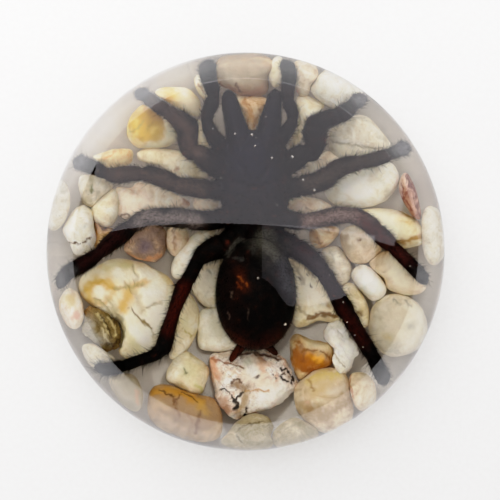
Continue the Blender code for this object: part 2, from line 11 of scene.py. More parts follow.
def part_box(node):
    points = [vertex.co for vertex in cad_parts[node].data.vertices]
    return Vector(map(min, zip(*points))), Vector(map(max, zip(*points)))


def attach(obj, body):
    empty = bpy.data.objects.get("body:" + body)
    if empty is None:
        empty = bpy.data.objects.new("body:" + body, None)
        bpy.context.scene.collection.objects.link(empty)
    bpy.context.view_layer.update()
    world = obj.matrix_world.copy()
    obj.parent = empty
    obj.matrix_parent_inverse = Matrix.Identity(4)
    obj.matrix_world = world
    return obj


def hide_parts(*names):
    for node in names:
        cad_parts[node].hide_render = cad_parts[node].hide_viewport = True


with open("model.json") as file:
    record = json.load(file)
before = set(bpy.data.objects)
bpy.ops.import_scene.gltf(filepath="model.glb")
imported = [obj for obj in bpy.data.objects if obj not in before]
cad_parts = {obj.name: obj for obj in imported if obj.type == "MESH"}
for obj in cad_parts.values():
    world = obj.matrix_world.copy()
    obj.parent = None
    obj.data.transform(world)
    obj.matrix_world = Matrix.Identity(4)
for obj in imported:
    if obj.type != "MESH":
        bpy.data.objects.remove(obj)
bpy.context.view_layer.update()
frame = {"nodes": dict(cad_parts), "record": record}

# The looks of a large dark spider cast in a clear resin dome, over a bed of river pebbles.
# Metres, +Z up, +Y towards the spider's head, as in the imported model.

MM = 0.001

# ---------------------------------------------------------------- sizes

DOME_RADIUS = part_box("resin_base")[1].x
DOME_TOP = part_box("resin_dome")[1].z
WALL_HEIGHT = 10.0 * MM
CROWN_HEIGHT = DOME_TOP - WALL_HEIGHT
FOOT_ROUND = 0.8 * MM
BED_RADIUS = 40.5 * MM
BODY_REST = 10.6 * MM  # the level that the legs' undersides come down to

# The photograph looks straight down on the dome, and these place its pixels in the resin.
PHOTO_SIDE = 500
SEEN_MIDDLE = (245.5, 251.5)
SEEN_RADIUS = 198.0
EYE_HEIGHT = 250.0 * MM
RESIN_INDEX = 1.55
SEEN_LIMIT = 0.965  # share of the radius past which the crown is too steep to see through
PIXEL = DOME_RADIUS / SEEN_RADIUS  # one pixel at the top of the wall

FLOOR_GAP = 0.15 * MM
FLOOR_SIDE = 6.0


# ---------------------------------------------------------------- sight lines


def bent_radius(seen_radius, height):
    """How far from the axis a point at this height is, when it is seen at seen_radius on the wall's top."""
    ray = Vector((seen_radius, WALL_HEIGHT - EYE_HEIGHT)).normalized()
    wide, tall = ray.x / DOME_RADIUS, ray.y / CROWN_HEIGHT
    rise = (EYE_HEIGHT - WALL_HEIGHT) / CROWN_HEIGHT
    square, linear, constant = wide * wide + tall * tall, rise * tall, rise * rise - 1.0
    reach = (-linear - math.sqrt(linear * linear - square * constant)) / square
    hit = Vector((0.0, EYE_HEIGHT)) + reach * ray
    normal = Vector((hit.x / DOME_RADIUS**2, (hit.y - WALL_HEIGHT) / CROWN_HEIGHT**2)).normalized()
    facing = -normal.dot(ray)
    bend = 1.0 / RESIN_INDEX
    inside = bend * ray + (bend * facing - math.sqrt(1.0 - bend**2 * (1.0 - facing**2))) * normal
    return hit.x + inside.x * (height - hit.y) / inside.y


def behind_dome(seen_x, seen_y, height):
    """The real point at this height that the crown shows at a pixel of the photograph."""
    offset = Vector((seen_x - SEEN_MIDDLE[0], SEEN_MIDDLE[1] - seen_y)) * PIXEL
    seen = offset.length
    if seen < 1e-6:
        return Vector((0.0, 0.0, height))
    limit = SEEN_LIMIT * DOME_RADIUS
    real = bent_radius(min(seen, limit), height) + max(0.0, seen - limit)
    offset *= min(real, BED_RADIUS) / seen
    return Vector((offset.x, offset.y, height))


def shrink_at(seen_x, seen_y, height):
    """Real metres for one pixel of the photograph at this place."""
    here = behind_dome(seen_x, seen_y, height)
    beside = behind_dome(seen_x + 1.0, seen_y, height)
    above = behind_dome(seen_x, seen_y + 1.0, height)
    return 0.5 * ((beside - here).length + (above - here).length)


# ---------------------------------------------------------------- nodes and meshes


def linear(hex_colour, alpha=1.0):
    """An sRGB colour such as #c9922e as linear RGBA."""
    parts = [int(hex_colour[i : i + 2], 16) / 255 for i in (1, 3, 5)]
    return (*[p / 12.92 if p <= 0.04045 else ((p + 0.055) / 1.055) ** 2.4 for p in parts], alpha)


def add(tree, kind, inputs=None, stops=None, **settings):
    """A node of this kind, with its settings, its ramp's stops, and its inputs' values or links."""
    node = tree.nodes.new(kind)
    for name, value in settings.items():
        setattr(node, name, value)
    for name, value in (inputs or {}).items():
        socket = node.inputs[name]
        if isinstance(value, bpy.types.NodeSocket):
            tree.links.new(value, socket)
        else:
            socket.default_value = value
    for index, (place, colour) in enumerate(stops or ()):
        ramp = node.color_ramp.elements
        stop = ramp[index] if index < len(ramp) else ramp.new(place)
        stop.position, stop.color = place, colour
    return node


MIX_A, MIX_B, MIX_RESULT = 6, 7, 2  # the colour sockets of a Mix node


def new_material(name):
    material = bpy.data.materials.new(name)
    material.use_nodes = True
    material.node_tree.nodes.clear()
    return material, material.node_tree


def new_object(name, mesh):
    piece = bpy.data.objects.new(name, mesh)
    bpy.context.scene.collection.objects.link(piece)
    return piece


def mesh_from(bm, name):
    mesh = bpy.data.meshes.new(name)
    bm.to_mesh(mesh)
    bm.free()
    return mesh


def finished_mesh(piece):
    """Turn what the piece's modifiers make into its plain mesh."""
    graph = bpy.context.evaluated_depsgraph_get()
    mesh = bpy.data.meshes.new_from_object(piece.evaluated_get(graph))
    piece.modifiers.clear()
    piece.data = mesh
    mesh.name = piece.name
    return mesh


def run_tree(piece, tree, **values):
    """Run a Geometry Nodes tree on the piece with these named inputs, and keep its plain mesh."""
    modifier = piece.modifiers.new(tree.name, "NODES")
    modifier.node_group = tree
    sockets = {socket.name: socket.identifier for socket in tree.interface.items_tree}
    for name, value in values.items():
        modifier[sockets[name.replace("_", " ")]] = value
    return finished_mesh(piece)


def new_tree(name, **inputs):
    """A Geometry Nodes tree with a geometry in and out, and these named inputs."""
    kinds = {float: "NodeSocketFloat", int: "NodeSocketInt", bpy.types.Material: "NodeSocketMaterial"}
    tree = bpy.data.node_groups.new(name, "GeometryNodeTree")
    tree.interface.new_socket("Geometry", in_out="INPUT", socket_type="NodeSocketGeometry")
    tree.interface.new_socket("Geometry", in_out="OUTPUT", socket_type="NodeSocketGeometry")
    for label, kind in inputs.items():
        tree.interface.new_socket(label.replace("_", " "), in_out="INPUT", socket_type=kinds[kind])
    return tree, add(tree, "NodeGroupInput").outputs


def coordinates(mesh, kind="vertices", field="co"):
    found = np.zeros(len(getattr(mesh, kind)) * 3, np.float32)
    getattr(mesh, kind).foreach_get(field, found)
    return found.reshape(-1, 3).astype(float)


def shade_round(mesh, angle=math.radians(180)):
    mesh.shade_smooth()
    if angle < math.pi:
        mesh.set_sharp_from_angle(angle=angle)


# ---------------------------------------------------------------- camera, light and floor


def make_camera():
    """Straight above the dome, framed so that the dome's foot fills the photograph's circle."""
    lens = bpy.data.cameras.new("camera")
    lens.sensor_width = 36.0
    half_width = PHOTO_SIDE / 2 * PIXEL / (EYE_HEIGHT - WALL_HEIGHT)
    lens.lens = lens.sensor_width / 2 / half_width
    lens.shift_x = (PHOTO_SIDE / 2 - SEEN_MIDDLE[0]) / PHOTO_SIDE
    lens.shift_y = (SEEN_MIDDLE[1] - PHOTO_SIDE / 2) / PHOTO_SIDE
    lens.clip_start = 0.01
    camera = bpy.data.objects.new("camera", lens)
    camera.location = (0.0, 0.0, EYE_HEIGHT)
    bpy.context.scene.collection.objects.link(camera)
    bpy.context.scene.camera = camera


BRIGHT_SIDE = Vector((0.04, 1.0, 0.0)).normalized()  # where the large soft panel stands
PANEL_TOP, PANEL_FOOT = (0.11, 0.62), (0.80, 0.0)  # its edges: distance along BRIGHT_SIDE, and height
PANEL_LENGTH, PANEL_RADIANCE = 3.0, 1.36
# The white sheet on the right: its outline from above, and its brightness at two distances.
SIDE_SHEET = (
    (0.066, 0.11), (0.066, -0.106), (0.090, -0.121), (0.125, -0.154), (0.158, -0.206), (0.19, -0.241),
    (0.30, -0.255), (0.50, -0.25), (0.90, -0.20), (0.90, 0.11),
)
SIDE_SHEET_HEIGHT = 0.62
SIDE_SHEET_NEAR, SIDE_SHEET_FAR = (0.10, 0.36), (0.35, 1.3)
# The lit tabletop: how bright it is all round, and at its brightest, towards TABLE_SIDE.
TABLE_DIM, TABLE_BRIGHT = 1.5, 2.6
TABLE_SIDE, TABLE_SIDE_FROM = (-0.70, 0.714, 0.0), 0.75  # a cosine, from which it gets brighter
TABLE_INNER, TABLE_OUTER = 1.03, 30.0  # in dome radii
TABLE_SHADE, TABLE_SHADE_END = 0.40, 2.2  # the dome's own shade on the table, and how far out it reaches
ROOM_BRIGHT, ROOM_DIM = 0.94, 0.62
SOFTBOX_PLACE, SOFTBOX_SIZE, SOFTBOX_WATTS = (-0.12, 0.26, 0.52), 0.6, 1.55


def make_room_light():
    """Even white light from all round, as in a light tent, and a little more from the bright side."""
    world = bpy.data.worlds.new("light_tent")
    world.use_nodes = True
    tree = world.node_tree
    tree.nodes.clear()
    towards = add(tree, "ShaderNodeTexCoord").outputs["Generated"]
    across = add(tree, "ShaderNodeVectorMath", {0: towards, 1: BRIGHT_SIDE}, operation="DOT_PRODUCT")
    strength = add(
        tree, "ShaderNodeMapRange",
        {"Value": across.outputs["Value"], "From Min": -1.0, "From Max": 1.0, "To Min": ROOM_DIM,
         "To Max": ROOM_BRIGHT},
    )
    light = add(tree, "ShaderNodeBackground", {"Color": linear("#ffffff"), "Strength": strength.outputs[0]})
    add(tree, "ShaderNodeOutputWorld", {"Surface": light.outputs[0]})
    # The dome mirrors only what make_lamps places, so its near side stays clear to look through.
    world.cycles_visibility.glossy = False
    bpy.context.scene.world = world


def place_lamp(lamp, place, facing):
    box = bpy.data.objects.new(lamp.name, lamp)
    box.location = place
    box.rotation_euler = facing.to_track_quat("-Z", "Y").to_euler()
    bpy.context.scene.collection.objects.link(box)
    return box


def make_panel():
    """A long soft panel, seen as a pale veil on the dome."""
    up = Vector((0.0, 0.0, 1.0))
    top, foot = (BRIGHT_SIDE * edge[0] + up * edge[1] for edge in (PANEL_TOP, PANEL_FOOT))
    panel = bpy.data.lights.new("panel", "AREA")
    panel.shape = "RECTANGLE"
    panel.size, panel.size_y = PANEL_LENGTH, (top - foot).length
    panel.energy = PANEL_RADIANCE * math.pi * panel.size * panel.size_y
    panel.color = linear("#f4f0f6")[:3]
    along = BRIGHT_SIDE.cross(up)
    box = place_lamp(panel, (top + foot) / 2, along.cross((top - foot).normalized()))
    box.visible_diffuse = False
    box.visible_transmission = False


def make_table_glow():
    """The bright tabletop round the dome, as its steep rim mirrors it, brightest at the far left."""
    bm = bmesh.new()
    rings = []
    turns = [2 * math.pi * step / DOME_STEPS for step in range(DOME_STEPS)]
    for radius in (TABLE_INNER * DOME_RADIUS, TABLE_OUTER * DOME_RADIUS):
        places = [(radius * math.cos(turn), radius * math.sin(turn), -FLOOR_GAP / 2) for turn in turns]
        rings.append([bm.verts.new(place) for place in places])
    for step in range(DOME_STEPS):
        after = (step + 1) % DOME_STEPS
        bm.faces.new((rings[0][step], rings[1][step], rings[1][after], rings[0][after]))
    glow = new_object("table_glow", mesh_from(bm, "table_glow"))
    material, tree = new_material("lit_tabletop_as_mirrored")
    place = add(tree, "ShaderNodeTexCoord").outputs["Object"]
    way = add(tree, "ShaderNodeVectorMath", {0: place}, operation="NORMALIZE")
    across = add(tree, "ShaderNodeVectorMath", {0: way.outputs[0], 1: TABLE_SIDE}, operation="DOT_PRODUCT")
    strength = add(
        tree, "ShaderNodeMapRange",
        {"Value": across.outputs["Value"], "From Min": TABLE_SIDE_FROM, "From Max": 1.0,
         "To Min": TABLE_DIM, "To Max": TABLE_BRIGHT},
        interpolation_type="SMOOTHSTEP",
    )
    out = add(tree, "ShaderNodeVectorMath", {0: place}, operation="LENGTH")
    shade = add(
        tree, "ShaderNodeMapRange",
        {"Value": out.outputs["Value"], "From Min": DOME_RADIUS, "From Max": TABLE_SHADE_END * DOME_RADIUS,
         "To Min": TABLE_SHADE, "To Max": 1.0},
        interpolation_type="SMOOTHSTEP",
    )
    shaded = add(tree, "ShaderNodeMath", {0: strength.outputs[0], 1: shade.outputs[0]}, operation="MULTIPLY")
    light = add(tree, "ShaderNodeEmission", {"Color": linear("#f9f8fb"), "Strength": shaded.outputs[0]})
    add(tree, "ShaderNodeOutputMaterial", {"Surface": light.outputs[0]})
    glow.data.materials.append(material)
    show_in_reflections(glow)


def show_in_reflections(glow):
    """Keep a glowing sheet out of everything but what the dome mirrors."""
    glow.visible_camera = glow.visible_diffuse = glow.visible_transmission = glow.visible_shadow = False


def make_side_sheet():
    """A sheet of white cloth high on the right, brighter further out, seen as the veil's right half."""
    bm = bmesh.new()
    bm.faces.new([bm.verts.new((x, y, SIDE_SHEET_HEIGHT)) for x, y in SIDE_SHEET])
    sheet = new_object("side_sheet", mesh_from(bm, "side_sheet"))
    material, tree = new_material("lit_white_cloth_as_mirrored")
    place = add(tree, "ShaderNodeSeparateXYZ", {0: add(tree, "ShaderNodeTexCoord").outputs["Object"]})
    strength = add(
        tree, "ShaderNodeMapRange",
        {"Value": place.outputs["X"], "From Min": SIDE_SHEET_NEAR[0], "From Max": SIDE_SHEET_FAR[0],
         "To Min": SIDE_SHEET_NEAR[1], "To Max": SIDE_SHEET_FAR[1]},
    )
    light = add(tree, "ShaderNodeEmission", {"Color": linear("#f2eef6"), "Strength": strength.outputs[0]})
    add(tree, "ShaderNodeOutputMaterial", {"Surface": light.outputs[0]})
    sheet.data.materials.append(material)
    show_in_reflections(sheet)


def make_lamps():
    make_panel()
    make_side_sheet()
    make_table_glow()
    softbox = bpy.data.lights.new("softbox", "AREA")
    softbox.shape = "DISK"
    softbox.size = SOFTBOX_SIZE
    softbox.energy = SOFTBOX_WATTS
    place_lamp(softbox, SOFTBOX_PLACE, -Vector(SOFTBOX_PLACE)).visible_glossy = False


# The card's colour holds painted light: a painted falloff, a little darker towards its near edge, and painted
# shade under the dome, where it lies in the bed's shade.
CARD_BRIGHT_WAY, CARD_REACH, CARD_DIM = (-0.26, 0.966, 0.0), 75.0 * MM, 0.75
CARD_SHADE = "#e4dfd9"
CARD_SHADE_FROM, CARD_SHADE_TO = 0.90 * DOME_RADIUS, 0.97 * DOME_RADIUS  # where the shade fades out
CARD_GRAIN = 900.0  # waves of the card's grain to the metre


def make_floor():
    """A plain pale tabletop, with a painted falloff of light and painted shade under the dome in its colour.
    """
    bm = bmesh.new()
    bmesh.ops.create_grid(bm, x_segments=1, y_segments=1, size=FLOOR_SIDE / 2)
    bmesh.ops.translate(bm, verts=bm.verts, vec=(0.0, 0.0, -FLOOR_GAP))
    floor = new_object("floor", mesh_from(bm, "floor"))
    material, tree = new_material("matt_white_card")
    place = add(tree, "ShaderNodeTexCoord").outputs["Object"]
    grain = add(tree, "ShaderNodeTexNoise", {"Vector": place, "Scale": CARD_GRAIN, "Detail": 3.0})
    tone = add(
        tree, "ShaderNodeValToRGB", {"Fac": grain.outputs["Fac"]},
        stops=[(0.3, linear("#f4f2f1")), (0.7, linear("#f9f8f7"))],
    )
    # painted falloff: the card darkens towards its near edge, as the light falls off
    across = add(tree, "ShaderNodeVectorMath", {0: place, 1: CARD_BRIGHT_WAY}, operation="DOT_PRODUCT")
    painted_falloff = add(
        tree, "ShaderNodeMapRange",
        {"Value": across.outputs["Value"], "From Min": -CARD_REACH, "From Max": CARD_REACH,
         "To Min": CARD_DIM, "To Max": 1.0},
    )
    shaded = add(
        tree, "ShaderNodeVectorMath",
        {0: tone.outputs["Color"], "Scale": painted_falloff.outputs["Result"]}, operation="SCALE",
    )
    # painted shade: the card is darker under the dome
    out = add(tree, "ShaderNodeVectorMath", {0: place}, operation="LENGTH")
    under = add(
        tree, "ShaderNodeMapRange",
        {"Value": out.outputs["Value"], "From Min": CARD_SHADE_FROM, "From Max": CARD_SHADE_TO,
         "To Min": 0.0, "To Max": 1.0},
    )
    shade = add(
        tree, "ShaderNodeMix",
        {0: under.outputs["Result"], MIX_A: linear(CARD_SHADE), MIX_B: linear("#ffffff")}, data_type="RGBA",
    )
    covered = add(
        tree, "ShaderNodeVectorMath",
        {0: shaded.outputs[0], 1: shade.outputs[MIX_RESULT]}, operation="MULTIPLY",
    )
    shader = add(tree, "ShaderNodeBsdfPrincipled", {"Base Color": covered.outputs[0], "Roughness": 0.75})
    add(tree, "ShaderNodeOutputMaterial", {"Surface": shader.outputs[0]})
    floor.data.materials.append(material)


# A small camera's tone curve: the middle tones are lifted, and the whites are held back.
TONES = (
    (0.0, 0.0), (0.012, 0.008), (0.05, 0.055), (0.15, 0.21), (0.30, 0.45), (0.50, 0.735), (0.70, 0.865),
    (1.0, 0.955),
)
TONE_WHITE = 1.25


def set_view():
    view = bpy.context.scene.view_settings
    view.view_transform = "Standard"
    view.use_curve_mapping = True
    curves = view.curve_mapping
    curves.white_level = (TONE_WHITE,) * 3
    points = curves.curves[3].points
    for place, tone in TONES[1:]:
        points.new(place / TONE_WHITE, tone)
    curves.update()
    cycles = bpy.context.scene.cycles
    cycles.max_bounces = 32
    cycles.diffuse_bounces = 12
    cycles.glossy_bounces = 16
    cycles.transmission_bounces = 16
    cycles.use_denoising = True


# ---------------------------------------------------------------- paint

# the attribute holds stains and painted light and shade alike
STAIN_AND_PAINTED_LIGHT = "stain_and_painted_light"
WANDER = 0.22 * MM  # how far a painted line strays from side to side
WANDER_WAVE = 3.0 * WANDER  # the length that it strays over
WANDER_SHIFT = 5.0 * MM  # keeps its straying across apart from its straying along
MARK_SPREAD, MARK_WOBBLE = 0.72, 0.4  # how far a mark reaches, in its own size, and how unevenly


class Mark(NamedTuple):
    """A blotch or line of colour, given in photograph pixels. A line has several points."""

    colour: str
    at: tuple
    size: float
    amount: float = 0.8
    groove: float = 0.0  # millimetres that it is sunk into the surface
    crisp: float = 2.0  # 2 fades softly, and 8 has a clear border


def distance_to_line(points, places):
    """How far each point is, seen from above, from the nearest stretch of a line through these places."""
    nearest = np.full(len(points), np.inf)
    ends = places if len(places) > 1 else [places[0], places[0]]
    for start, end in zip(ends, ends[1:]):
        start, along = np.array(start), np.array(end) - np.array(start)
        reach = max(float(along @ along), 1e-18)
        share = np.clip((points[:, :2] - start) @ along / reach, 0.0, 1.0)
        gap = points[:, :2] - start - share[:, None] * along
        nearest = np.minimum(nearest, np.hypot(gap[:, 0], gap[:, 1]))
    return nearest


def paint(mesh, marks, level):
    """Lay the marks, stains and painted light and shade alike, over each other in the mesh's colour
    attribute, and sink the grooves.
    """
    points = coordinates(mesh)
    stain_and_painted_light = np.zeros((len(points), 4))
    sunk = np.zeros(len(points))
    for mark in marks:
        seen = mark.at if isinstance(mark.at[0], tuple) else (mark.at,)
        places = [behind_dome(x, y, level)[:2] for x, y in seen]
        width = mark.size * shrink_at(*seen[0], level)
        bent = points.copy()
        for axis in (0, 1):
            bent[:, axis] += WANDER * wave_noise(points + axis * WANDER_SHIFT, WANDER_WAVE)
        reach = MARK_SPREAD * width * (1.0 + MARK_WOBBLE * wave_noise(points, width))
        cover = np.exp(-((distance_to_line(bent, places) / reach) ** mark.crisp))
        share = (cover * mark.amount)[:, None]
        colour = np.array(linear(mark.colour)[:3])
        total = share + stain_and_painted_light[:, 3:] * (1.0 - share)
        mixed = colour * share + stain_and_painted_light[:, :3] * stain_and_painted_light[:, 3:] * (1.0 - share)
        stain_and_painted_light[:, :3] = np.where(total > 1e-6, mixed / np.maximum(total, 1e-6), colour)
        stain_and_painted_light[:, 3:] = total
        sunk = np.maximum(sunk, cover * mark.groove * MM)
    attribute = mesh.attributes.new(STAIN_AND_PAINTED_LIGHT, "FLOAT_COLOR", "POINT")
    attribute.data.foreach_set("color", stain_and_painted_light.astype(np.float32).ravel())
    if sunk.any():
        moved = points - coordinates(mesh, "vertex_normals", "vector") * sunk[:, None]
        mesh.vertices.foreach_set("co", moved.astype(np.float32).ravel())
        mesh.update()


def wave_noise(points, size):
    """A cheap smooth noise from -1 to 1, with waves about as long as size."""
    x, y, z = (points / size).T
    return np.sin(1.9 * x + 1.3 * np.sin(1.1 * y + z)) * np.cos(1.7 * y + 1.2 * np.sin(1.3 * x - z))


# ---------------------------------------------------------------- resin


HAZE_SIZE = 6.25 * MM  # the patches where the polish is a little dull
RESIN_ROUGHNESS = 0.02  # where the polish is at its worst
RESIN_TINT, RESIN_TINT_STRENGTH = "#f6efe2", 16.0
RIM_ANGLE = math.radians(40)  # edges sharper than this stay sharp


def resin_material():
    """Clear polyester casting resin, poured and polished: see-through, faintly warm where it is thick."""
    material, tree = new_material("clear_polyester_resin_polished")
    place = add(tree, "ShaderNodeTexCoord").outputs["Object"]
    haze = add(tree, "ShaderNodeTexNoise", {"Vector": place, "Scale": 1.0 / HAZE_SIZE, "Detail": 4.0})
    polish = add(
        tree, "ShaderNodeMapRange",
        {"Value": haze.outputs["Fac"], "From Min": 0.45, "From Max": 0.75, "To Min": 0.0,
         "To Max": RESIN_ROUGHNESS},
    )
    shader = add(
        tree, "ShaderNodeBsdfPrincipled",
        {
            "Base Color": linear("#ffffff"), "Roughness": polish.outputs["Result"],
            "IOR": RESIN_INDEX, "Transmission Weight": 1.0,
        },
    )
    # Cast polyester yellows a little: about an eighth of the blue is lost over the dome's height.
    inside = add(
        tree, "ShaderNodeVolumeAbsorption", {"Color": linear(RESIN_TINT), "Density": RESIN_TINT_STRENGTH}
    )
    add(tree, "ShaderNodeOutputMaterial", {"Surface": shader.outputs[0], "Volume": inside.outputs[0]})
    return material


DOME_STEPS = 160
CROWN_STEPS = 56
ROUND_STEPS = 5
FLOOR_RINGS = 4


def resin_profile():
    """The dome's outline from the top of its axis out, down and back to the axis."""
    points = []
    for step in range(CROWN_STEPS + 1):
        angle = math.pi / 2 * step / CROWN_STEPS
        height = WALL_HEIGHT + CROWN_HEIGHT * math.cos(angle)
        points.append((DOME_RADIUS * math.sin(angle), height))
    for step in range(ROUND_STEPS + 1):
        angle = math.pi / 2 * step / ROUND_STEPS
        out = DOME_RADIUS - FOOT_ROUND * (1.0 - math.cos(angle))
        points.append((out, FOOT_ROUND * (1.0 - math.sin(angle))))
    for step in range(1, FLOOR_RINGS + 1):
        points.append(((DOME_RADIUS - FOOT_ROUND) * (1.0 - step / FLOOR_RINGS), 0.0))
    return points


# Air bubbles: pixel, height and radius in millimetres. Most cling to the spider.
BUBBLES = (
    (235, 134, 19.5, 0.22), (252, 135, 20.0, 0.30), (213, 129, 17.5, 0.20), (266, 117, 19.0, 0.14),
    (255, 146, 21.0, 0.24), (292, 157, 19.0, 0.34), (272, 158, 21.0, 0.24), (303, 180, 19.0, 0.26),
    (314, 190, 18.5, 0.30), (258, 278, 23.5, 0.26), (285, 324, 21.0, 0.32), (329, 275, 17.0, 0.14),
    (343, 302, 16.5, 0.16), (347, 322, 16.0, 0.16), (355, 335, 15.5, 0.15), (363, 347, 15.0, 0.18),
    (410, 266, 14.0, 0.18), (98, 171, 14.0, 0.16), (300, 110, 17.0, 0.12), (256, 138, 20.0, 0.12),
    (229, 165, 21.0, 0.10), (277, 205, 21.5, 0.12), (240, 196, 22.0, 0.10), (221, 178, 20.0, 0.12),
)


def bubble_tree():
    """A round air bubble at each point, as wide as the point says, with its faces turned to the air."""
    tree, given = new_tree("air_bubbles", Roundness=int, Resin=bpy.types.Material)
    ball = add(tree, "GeometryNodeMeshIcoSphere", {"Radius": 1.0, "Subdivisions": given["Roundness"]})
    wide = add(tree, "GeometryNodeInputNamedAttribute", {"Name": "bubble_radius"}, data_type="FLOAT")
    balls = add(
        tree, "GeometryNodeInstanceOnPoints",
        {"Points": given["Geometry"], "Instance": ball.outputs["Mesh"], "Scale": wide.outputs["Attribute"]},
    )
    real = add(tree, "GeometryNodeRealizeInstances", {"Geometry": balls.outputs[0]})
    turned = add(tree, "GeometryNodeFlipFaces", {"Mesh": real.outputs[0]})
    smooth = add(tree, "GeometryNodeSetShadeSmooth", {"Geometry": turned.outputs[0]})
    made = add(tree, "GeometryNodeSetMaterial", {"Geometry": smooth.outputs[0], "Material": given["Resin"]})
    add(tree, "NodeGroupOutput", {"Geometry": made.outputs[0]})
    return tree


def make_resin():
    """The whole casting as one clear body, with its air bubbles as small hollows."""
    profile = resin_profile()
    mesh = bpy.data.meshes.new("clear_resin_casting")
    mesh.from_pydata([(r, 0.0, z) for r, z in profile], [(i, i + 1) for i in range(len(profile) - 1)], [])
    casting = new_object("clear_resin_casting", mesh)
    turn = casting.modifiers.new("turn", "SCREW")
    turn.steps = turn.render_steps = DOME_STEPS
    turn.use_merge_vertices = True
    turn.merge_threshold = 0.005 * MM
    shell = finished_mesh(casting)

    spots = bpy.data.meshes.new("bubble_spots")
    places = [behind_dome(x, y, height * MM) for x, y, height, radius in BUBBLES]
    spots.from_pydata(places, [], [])
    sizes = spots.attributes.new("bubble_radius", "FLOAT", "POINT")
    sizes.data.foreach_set("value", [radius * MM for x, y, height, radius in BUBBLES])
    bubbles = new_object("bubble_spots", spots)
    material = resin_material()
    air = run_tree(bubbles, bubble_tree(), Roundness=2, Resin=material)

    bm = bmesh.new()
    bm.from_mesh(shell)
    bmesh.ops.recalc_face_normals(bm, faces=bm.faces)
    if bm.calc_volume(signed=True) < 0:
        bmesh.ops.reverse_faces(bm, faces=bm.faces)
    bm.from_mesh(air)
    casting.data = mesh_from(bm, casting.name)
    shade_round(casting.data, RIM_ANGLE)
    casting.data.materials.append(material)
    bpy.data.objects.remove(bubbles)
    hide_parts("resin_base", "resin_dome")
    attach(casting, "root")


# ---------------------------------------------------------------- pebbles


class Finish(NamedTuple):
    """What a kind of pebble is, and its colours. Sizes are in millimetres."""

    rock: str
    dark: str
    ground: str
    light: str
    vein: str
    veins: float  # how strongly the veins show
    speck: str
    specks: float  # how strongly the specks show
    patch: float = 4.0
    glow: float = 0.35  # how much of the light gets into the stone


FINISHES = {
    "amber_stone": Finish(
        "amber_chert_tumbled", "#e2b474", "#f0dcae", "#faf0d2", "#b9783c", 0.5, "#8a5a34", 0.15,
    ),
    "banded_stone": Finish(
        "banded_agate_tumbled", "#a09474", "#bdb194", "#d6ccb4", "#7f765e", 0.9, "#6d6553", 0.2,
    ),
    "beige_stone": Finish(
        "beige_sandstone_worn", "#d4bd9c", "#eddec4", "#f7efdc", "#a98c6a", 0.35, "#8a765c", 0.2,
    ),
    "brown_stone": Finish(
        "ironstone_worn", "#8a6440", "#c09c6e", "#dfc8a0", "#4c301c", 0.7, "#3a2618", 0.5,
    ),
    "cream_stone": Finish(
        "cream_chert_tumbled", "#dfd1a8", "#f5ebd0", "#fdf8e8", "#a08c58", 0.35, "#776a48", 0.3,
    ),
    "grey_stone": Finish(
        "pale_quartzite_worn", "#c6bfaa", "#e6dfce", "#f4f0e3", "#8b8470", 0.45, "#625c4a", 0.45,
    ),
    "milky_stone": Finish(
        "milky_quartz_tumbled", "#dfdbc9", "#f3f0e3", "#fbfaf2", "#b2ae98", 0.35, "#8a8672", 0.15,
    ),
    "mottled_stone": Finish(
        "mottled_granite_worn", "#857470", "#b09a8c", "#dbbda2", "#5a443c", 0.5, "#4a3c38", 0.7,
    ),
    "orange_stone": Finish(
        "iron_stained_quartz", "#b98444", "#e2caa0", "#f2e6ca", "#8c561c", 0.6, "#6e4620", 0.3,
    ),
    "pink_stone": Finish(
        "pink_feldspar_worn", "#e3cab0", "#f6ead8", "#fcf6ea", "#a9785c", 0.4, "#7a5a48", 0.3,
    ),
    "red_stone": Finish(
        "red_jasper_worn", "#96604f", "#c9a08b", "#e2c6b0", "#5e2e24", 0.6, "#4a2620", 0.4,
    ),
    "rough_stone": Finish(
        "broken_white_quartz", "#dcb8a0", "#f7eee5", "#fffdfa", "#7c442c", 1.3, "#30201c", 0.95, 2.4, 0.2,
    ),
    "white_stone": Finish(
        "white_quartz_tumbled", "#ebe7d9", "#fbf8ef", "#fffef9", "#bdb59f", 0.25, "#8d8775", 0.1,
    ),
    "yellow_stone": Finish(
        "yellow_quartz_tumbled", "#e6ca86", "#f8edcd", "#fef8e4", "#a97f30", 0.35, "#7e6028", 0.2,
    ),
}


MOTTLE_SIZE, CREASE_SIZE, SPECK_SIZE, SPECK_SPREAD = 1.7 * MM, 3.2 * MM, 0.6 * MM, 2.2 * MM
CLOUD_SIZE, GRAIN_SIZE, GRAIN_DEPTH = 1.5 * MM, 0.7 * MM, 0.14 * MM
VEIN_WIDTH, VEIN_STRENGTH = 0.018, 0.45  # in steps of the creases' noise, and a share of what is asked
STAIN_RAGGED = 0.9  # how far a mark's border follows the stone's own cloudy pattern


def stone_ground(tree, place, finish):
    """Broad patches in three tones, with a finer mottle over them."""
    patch = add(
        tree, "ShaderNodeTexNoise",
        {"Vector": place, "Scale": 1.0 / (finish.patch * MM), "Detail": 9.0, "Roughness": 0.62,
         "Distortion": 0.9},
    )
    ground = add(
        tree, "ShaderNodeValToRGB", {"Fac": patch.outputs["Fac"]},
        stops=[(0.32, linear(finish.dark)), (0.50, linear(finish.ground)), (0.66, linear(finish.light))],
    )
    ground.color_ramp.interpolation = "EASE"
    mottle = add(
        tree, "ShaderNodeTexNoise",
        {"Vector": place, "Scale": 1.0 / MOTTLE_SIZE, "Detail": 7.0, "Roughness": 0.55, "Distortion": 0.8},
    )
    shade = add(
        tree, "ShaderNodeValToRGB", {"Fac": mottle.outputs["Fac"]},
        stops=[(0.30, linear("#d8c8a8")), (0.44, linear("#f6f0e2")), (0.56, linear("#ffffff"))],
    )
    uneven = add(
        tree, "ShaderNodeMix",
        {0: 0.5, MIX_A: ground.outputs["Color"], MIX_B: shade.outputs["Color"]},
        data_type="RGBA", blend_type="MULTIPLY",
    )
    return uneven.outputs[MIX_RESULT]


